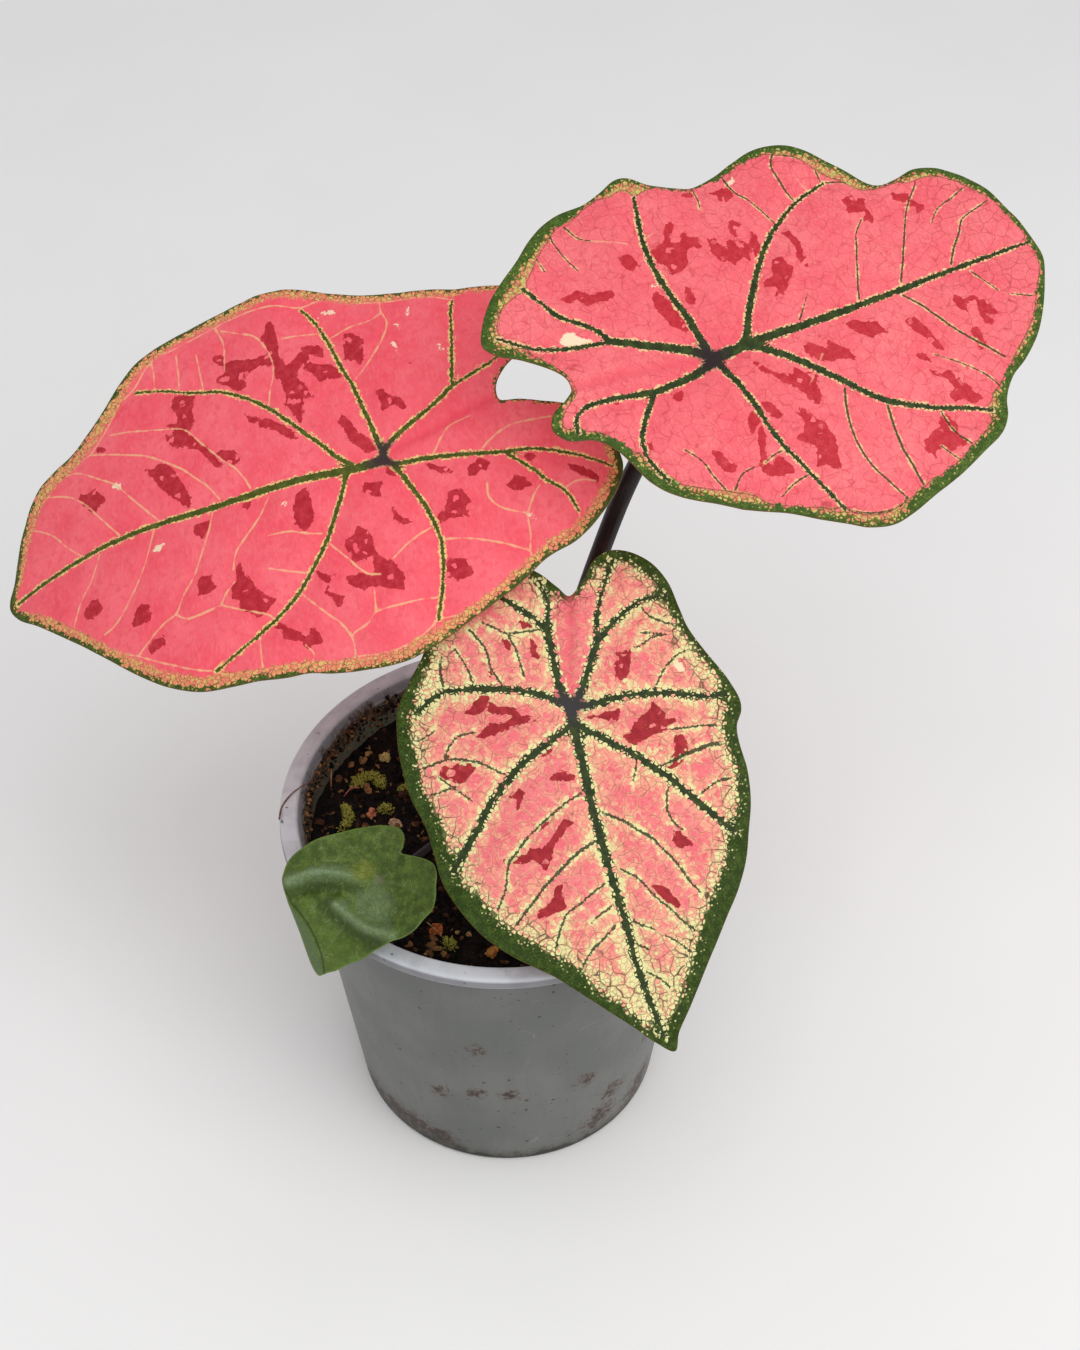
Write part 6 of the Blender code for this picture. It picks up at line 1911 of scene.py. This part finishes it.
def scattered(name, lumps, material, stands_for=(), subdivisions=1, roughness=0.7):
    """One mesh of many lumps. Each is (place, sizes, turn, tint)."""
    shapes = [crumb_shape(seed, subdivisions, roughness) for seed in range(CRUMB_SHAPES)]
    verts, faces, tints = [], [], []
    total = 0
    for i, (place, sizes, turn, tint) in enumerate(lumps):
        points, triangles = shapes[i % len(shapes)]
        turned = (points * sizes) @ np.array(turn.to_matrix()).T + np.array(place)
        verts.append(turned)
        faces += [tuple(total + corner for corner in triangle) for triangle in triangles]
        tints += [tint] * len(points)
        total += len(points)
    mesh = new_mesh(name, np.vstack(verts), faces, material)
    store(mesh, "tint", tints)
    mesh.set_sharp_from_angle(angle=math.radians(CRUMB_SHARP_ANGLE))
    return new_object(name, mesh, stands_for)


def random_turn(chance):
    """A turn about a random axis."""
    from_axis = Vector((chance.gauss(0, 1), chance.gauss(0, 1), chance.gauss(0, 1)))
    return Matrix.Rotation(chance.uniform(0, 2 * math.pi), 3, from_axis.normalized()).to_quaternion()


def crumb_sizes(chance, least, extra, power, longest):
    """Half sizes of one flattish crumb, along, across and up."""
    size = least + extra * chance.random() ** power
    return size * chance.uniform(0.8, longest), size, size * chance.uniform(0.5, 0.9)


def add_crumbs(material):
    """Loose crumbs of peat and bark over the whole mix."""
    chance = random.Random(11)
    reach = inner_wall_radius(SOIL_LEVEL) - 1.5
    lumps = []
    for _ in range(CRUMBS):
        distance, angle = reach * math.sqrt(chance.random()), chance.uniform(0, 2 * math.pi)
        x, y = distance * math.cos(angle), distance * math.sin(angle)
        sizes = crumb_sizes(chance, *CRUMB_RANGE)
        place = (x, y, soil_height(x, y) + 0.15 * sizes[1])
        lumps.append((place, sizes, random_turn(chance), chance.random() * 0.93))
    for x, y, size, tint in FLECKS:
        place = (x, y, soil_height(x, y) + 0.5 * size)
        lumps.append((place, (1.3 * size, size, 0.8 * size), random_turn(chance), tint))
    return scattered("mix_crumbs", lumps, material)


def moss_paint():
    """Yellow-green leaflets, browner at their base. tint differs from leaflet to leaflet."""
    tones = colours_of("moss_paint")
    paint = Paint("moss", roughness=0.75, specular=0.25)
    at = paint.place()
    fine = paint.noise(at, 0.35, 2)
    tint = paint.number("tint")
    green = paint.past(paint.add(tint, paint.times(fine, 0.5)), 0.35, 0.3)
    colour = paint.mix(tones["base"], tones["leaflet"], green)
    colour = paint.over(colour, tones["top"], paint.past(tint, 0.80, 0.08), 0.8)
    colour = paint.over(colour, tones["dead"], paint.under(tint, 0.14, 0.06), 0.8)
    paint.bump(fine, 0.2, 0.6)
    return paint.finish(colour)


def chip_paint(name, colour, dark):
    """Rough mineral or bark chip."""
    tones = colours_of("chip_paint")
    paint = Paint(name, roughness=0.85, specular=0.25)
    at = paint.place()
    fine = paint.noise(at, 0.3, 3)
    middling = paint.noise(at, 1.2, 3)
    pits = paint.under(paint.dots(at, 0.5)[0], 0.12, 0.08)
    darker = paint.past(paint.add(middling, paint.times(fine, 0.6)), 0.05, 0.15)
    tone = paint.mix(linear(*colour), linear(*dark), darker)
    tone = paint.over(tone, tones["pit"], pits, 0.5)
    paint.bump(paint.less(paint.add(fine, middling), pits), 0.25, 0.9)
    return paint.finish(tone)


def tuber_paint():
    """Brown papery skin with rings and root scars. The mix hides it."""
    tones = colours_of("tuber_paint")
    paint = Paint("tuber_skin", roughness=0.85, specular=0.2)
    at = paint.place()
    rings = paint.noise(paint.stretch(at, (0.2, 0.2, 1.6)), 2.0, 3)
    scars = paint.under(paint.dots(at, 4.0)[0], 0.7, 0.3)
    colour = paint.mix(tones["skin"], tones["skin_light"], paint.past(rings, 0.0, 0.15))
    colour = paint.over(colour, tones["scar"], scars, 0.7)
    paint.bump(paint.less(rings, scars), 0.5, 0.8)
    return paint.finish(colour)


def add_wall_crumbs(material):
    """Crumbs stuck to the pot's inner wall, most of them at the back and the left."""
    chance = random.Random(23)
    lumps = []
    for _ in range(WALL_CRUMBS):
        angle = math.radians(chance.triangular(*WALL_CRUMB_ANGLES))
        z = chance.triangular(*WALL_CRUMB_HEIGHTS)
        radius = inner_wall_radius(z) - 0.1
        sizes = crumb_sizes(chance, *WALL_CRUMB_RANGE)
        place = (radius * math.cos(angle), radius * math.sin(angle), z)
        lumps.append((place, sizes, random_turn(chance), 0.45 + 0.5 * chance.random()))
    return scattered("wall_crumbs", lumps, material)


def add_moss(material):
    """Tufts of leaflets over each mossy ridge or tuft of the frame."""
    chance = random.Random(5)
    for node, centres in MOSS.items():
        lumps = []
        for (x, y, radius), (x2, y2, radius2) in zip(centres, centres[1:] or centres):
            for _ in range(MOSS_LEAFLETS):
                share = chance.random()
                size = radius + (radius2 - radius) * share
                direction = Vector((chance.gauss(0, 1), chance.gauss(0, 1), abs(chance.gauss(0, 0.8))))
                direction.normalize()
                jitter = Vector((chance.gauss(0, 0.35), chance.gauss(0, 0.35), chance.gauss(0, 0.35)))
                middle = Vector((x + (x2 - x) * share, y + (y2 - y) * share, 0.0))
                middle.z = soil_height(middle.x, middle.y) - 0.2
                place = middle + direction * size * chance.uniform(0.6, 1.1)
                turn = (direction + jitter).to_track_quat("Z", "Y")
                sizes = (LEAFLET_THICKNESS, LEAFLET_WIDTH, chance.uniform(*LEAFLET_LENGTHS))
                tint = 0.15 + 0.6 * direction.z + chance.uniform(-0.15, 0.3)
                lumps.append((tuple(place), sizes, turn, tint))
        scattered(f"{node}_leaflets", lumps, material, [node], roughness=0.3)


def add_chips():
    """Bark and pumice chips, each on its own node's place."""
    for i, (node, (x, y), size, colour, dark) in enumerate(CHIPS):
        material = chip_paint(f"{node}_paint", colour, dark)
        turn = random_turn(random.Random(40 + i))
        height = soil_height(x, y) + 0.35 * size
        lumps = [((x, y, height), (size * 1.25, size, size * 0.85), turn, 0.5)]
        scattered(f"{node}_stone", lumps, material, [node], subdivisions=4, roughness=0.55)


def fibre_paint(name, colour):
    """Dry brown root, darker in places."""
    paint = Paint(name, roughness=0.7, specular=0.3)
    tone = paint.noise(paint.place(), 1.5, 3)
    paint.bump(tone, 0.15, 0.6)
    dark = tuple(0.45 * value for value in linear(*colour)[:3]) + (1.0,)
    return paint.finish(paint.mix(linear(*colour), dark, paint.past(tone, 0.02, 0.15)))


def add_fibre(name, route, radius, colour):
    """One dry root fibre, a thin tapering thread of uneven width."""
    path = [Vector(place) for place in catmull_rom(route, FIBRE_PIECES, closed=False)]
    last = len(path) - 1

    def uneven(i, _):
        return radius * (1.0 - 0.55 * i / last) * (1.0 + 0.25 * noise.noise(path[i] * 0.6))

    verts, faces = round_bar(path, FIBRE_SIDES, Vector((0.3, 0.2, 1.0)).normalized(), uneven)
    return new_object(name, new_mesh(name, verts, faces, fibre_paint(name, colour)))


def build_stage():
    """Pale floor, soft light from above and the camera."""
    scene = bpy.context.scene
    floor_mesh = bpy.data.meshes.new("floor")
    corners = [(x * FLOOR_HALF, y * FLOOR_HALF, 0.0) for x, y in ((-1, -1), (1, -1), (1, 1), (-1, 1))]
    floor_mesh.from_pydata(corners, [], [(0, 1, 2, 3)])
    floor = bpy.data.objects.new("floor", floor_mesh)
    scene.collection.objects.link(floor)
    paint = Paint("floor", roughness=0.8, specular=0.1)
    cloud = paint.past(paint.noise(paint.place(), 90.0, 2), 0.0, 0.3)
    floor_mesh.materials.append(paint.finish(paint.mix(*FLOOR_TONES, cloud)))

    world = bpy.data.worlds.new("studio")
    scene.world = world
    world.use_nodes = True
    background = world.node_tree.nodes["Background"]
    background.inputs["Color"].default_value = WORLD_COLOUR
    background.inputs["Strength"].default_value = WORLD_STRENGTH

    for name, place, size, power, colour in LAMPS:
        light = bpy.data.lights.new(name, "AREA")
        light.shape = "DISK"
        light.size = size
        light.energy = power
        light.color = colour
        lamp = bpy.data.objects.new(name, light)
        scene.collection.objects.link(lamp)
        lamp.location = place
        lamp.rotation_mode = "QUATERNION"
        lamp.rotation_quaternion = (Vector(LAMP_TARGET) - Vector(place)).to_track_quat("-Z", "Y")

    camera_data = bpy.data.cameras.new("camera")
    camera_data.lens = CAMERA_LENS
    camera_data.sensor_width = SENSOR_WIDTH
    camera_data.clip_start = 0.01
    camera = bpy.data.objects.new("camera", camera_data)
    scene.collection.objects.link(camera)
    columns = Matrix((CAMERA_RIGHT, CAMERA_UP, CAMERA_BACK)).transposed()
    camera.matrix_world = Matrix.Translation(Vector(CAMERA_PLACE) * MM) @ columns.to_4x4()
    scene.camera = camera
    scene.view_settings.view_transform = "Standard"


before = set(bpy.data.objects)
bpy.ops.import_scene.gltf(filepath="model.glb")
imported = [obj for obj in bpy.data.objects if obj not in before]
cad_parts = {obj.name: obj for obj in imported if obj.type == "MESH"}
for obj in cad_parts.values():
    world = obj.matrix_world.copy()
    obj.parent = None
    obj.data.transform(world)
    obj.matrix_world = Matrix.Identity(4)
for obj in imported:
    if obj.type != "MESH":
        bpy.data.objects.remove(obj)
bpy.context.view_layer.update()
build_stage()
add_pot()
earth = soil_paint("potting_mix")
add_soil(earth)
add_crumbs(earth)
add_wall_crumbs(earth)
add_moss(moss_paint())
add_chips()
for number, (route, radius, colour) in enumerate(FIBRES, 1):
    add_fibre(f"root_fibre_{number}", route, radius, colour)
skin = stalk_skin()
for name in STALKS:
    add_stalk(name, skin)
for name in LEAVES:
    add_blade(name, green_leaf() if name == "small" else pink_leaf(name))
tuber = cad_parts["tuber"].data.materials
tuber.clear()
tuber.append(tuber_paint())
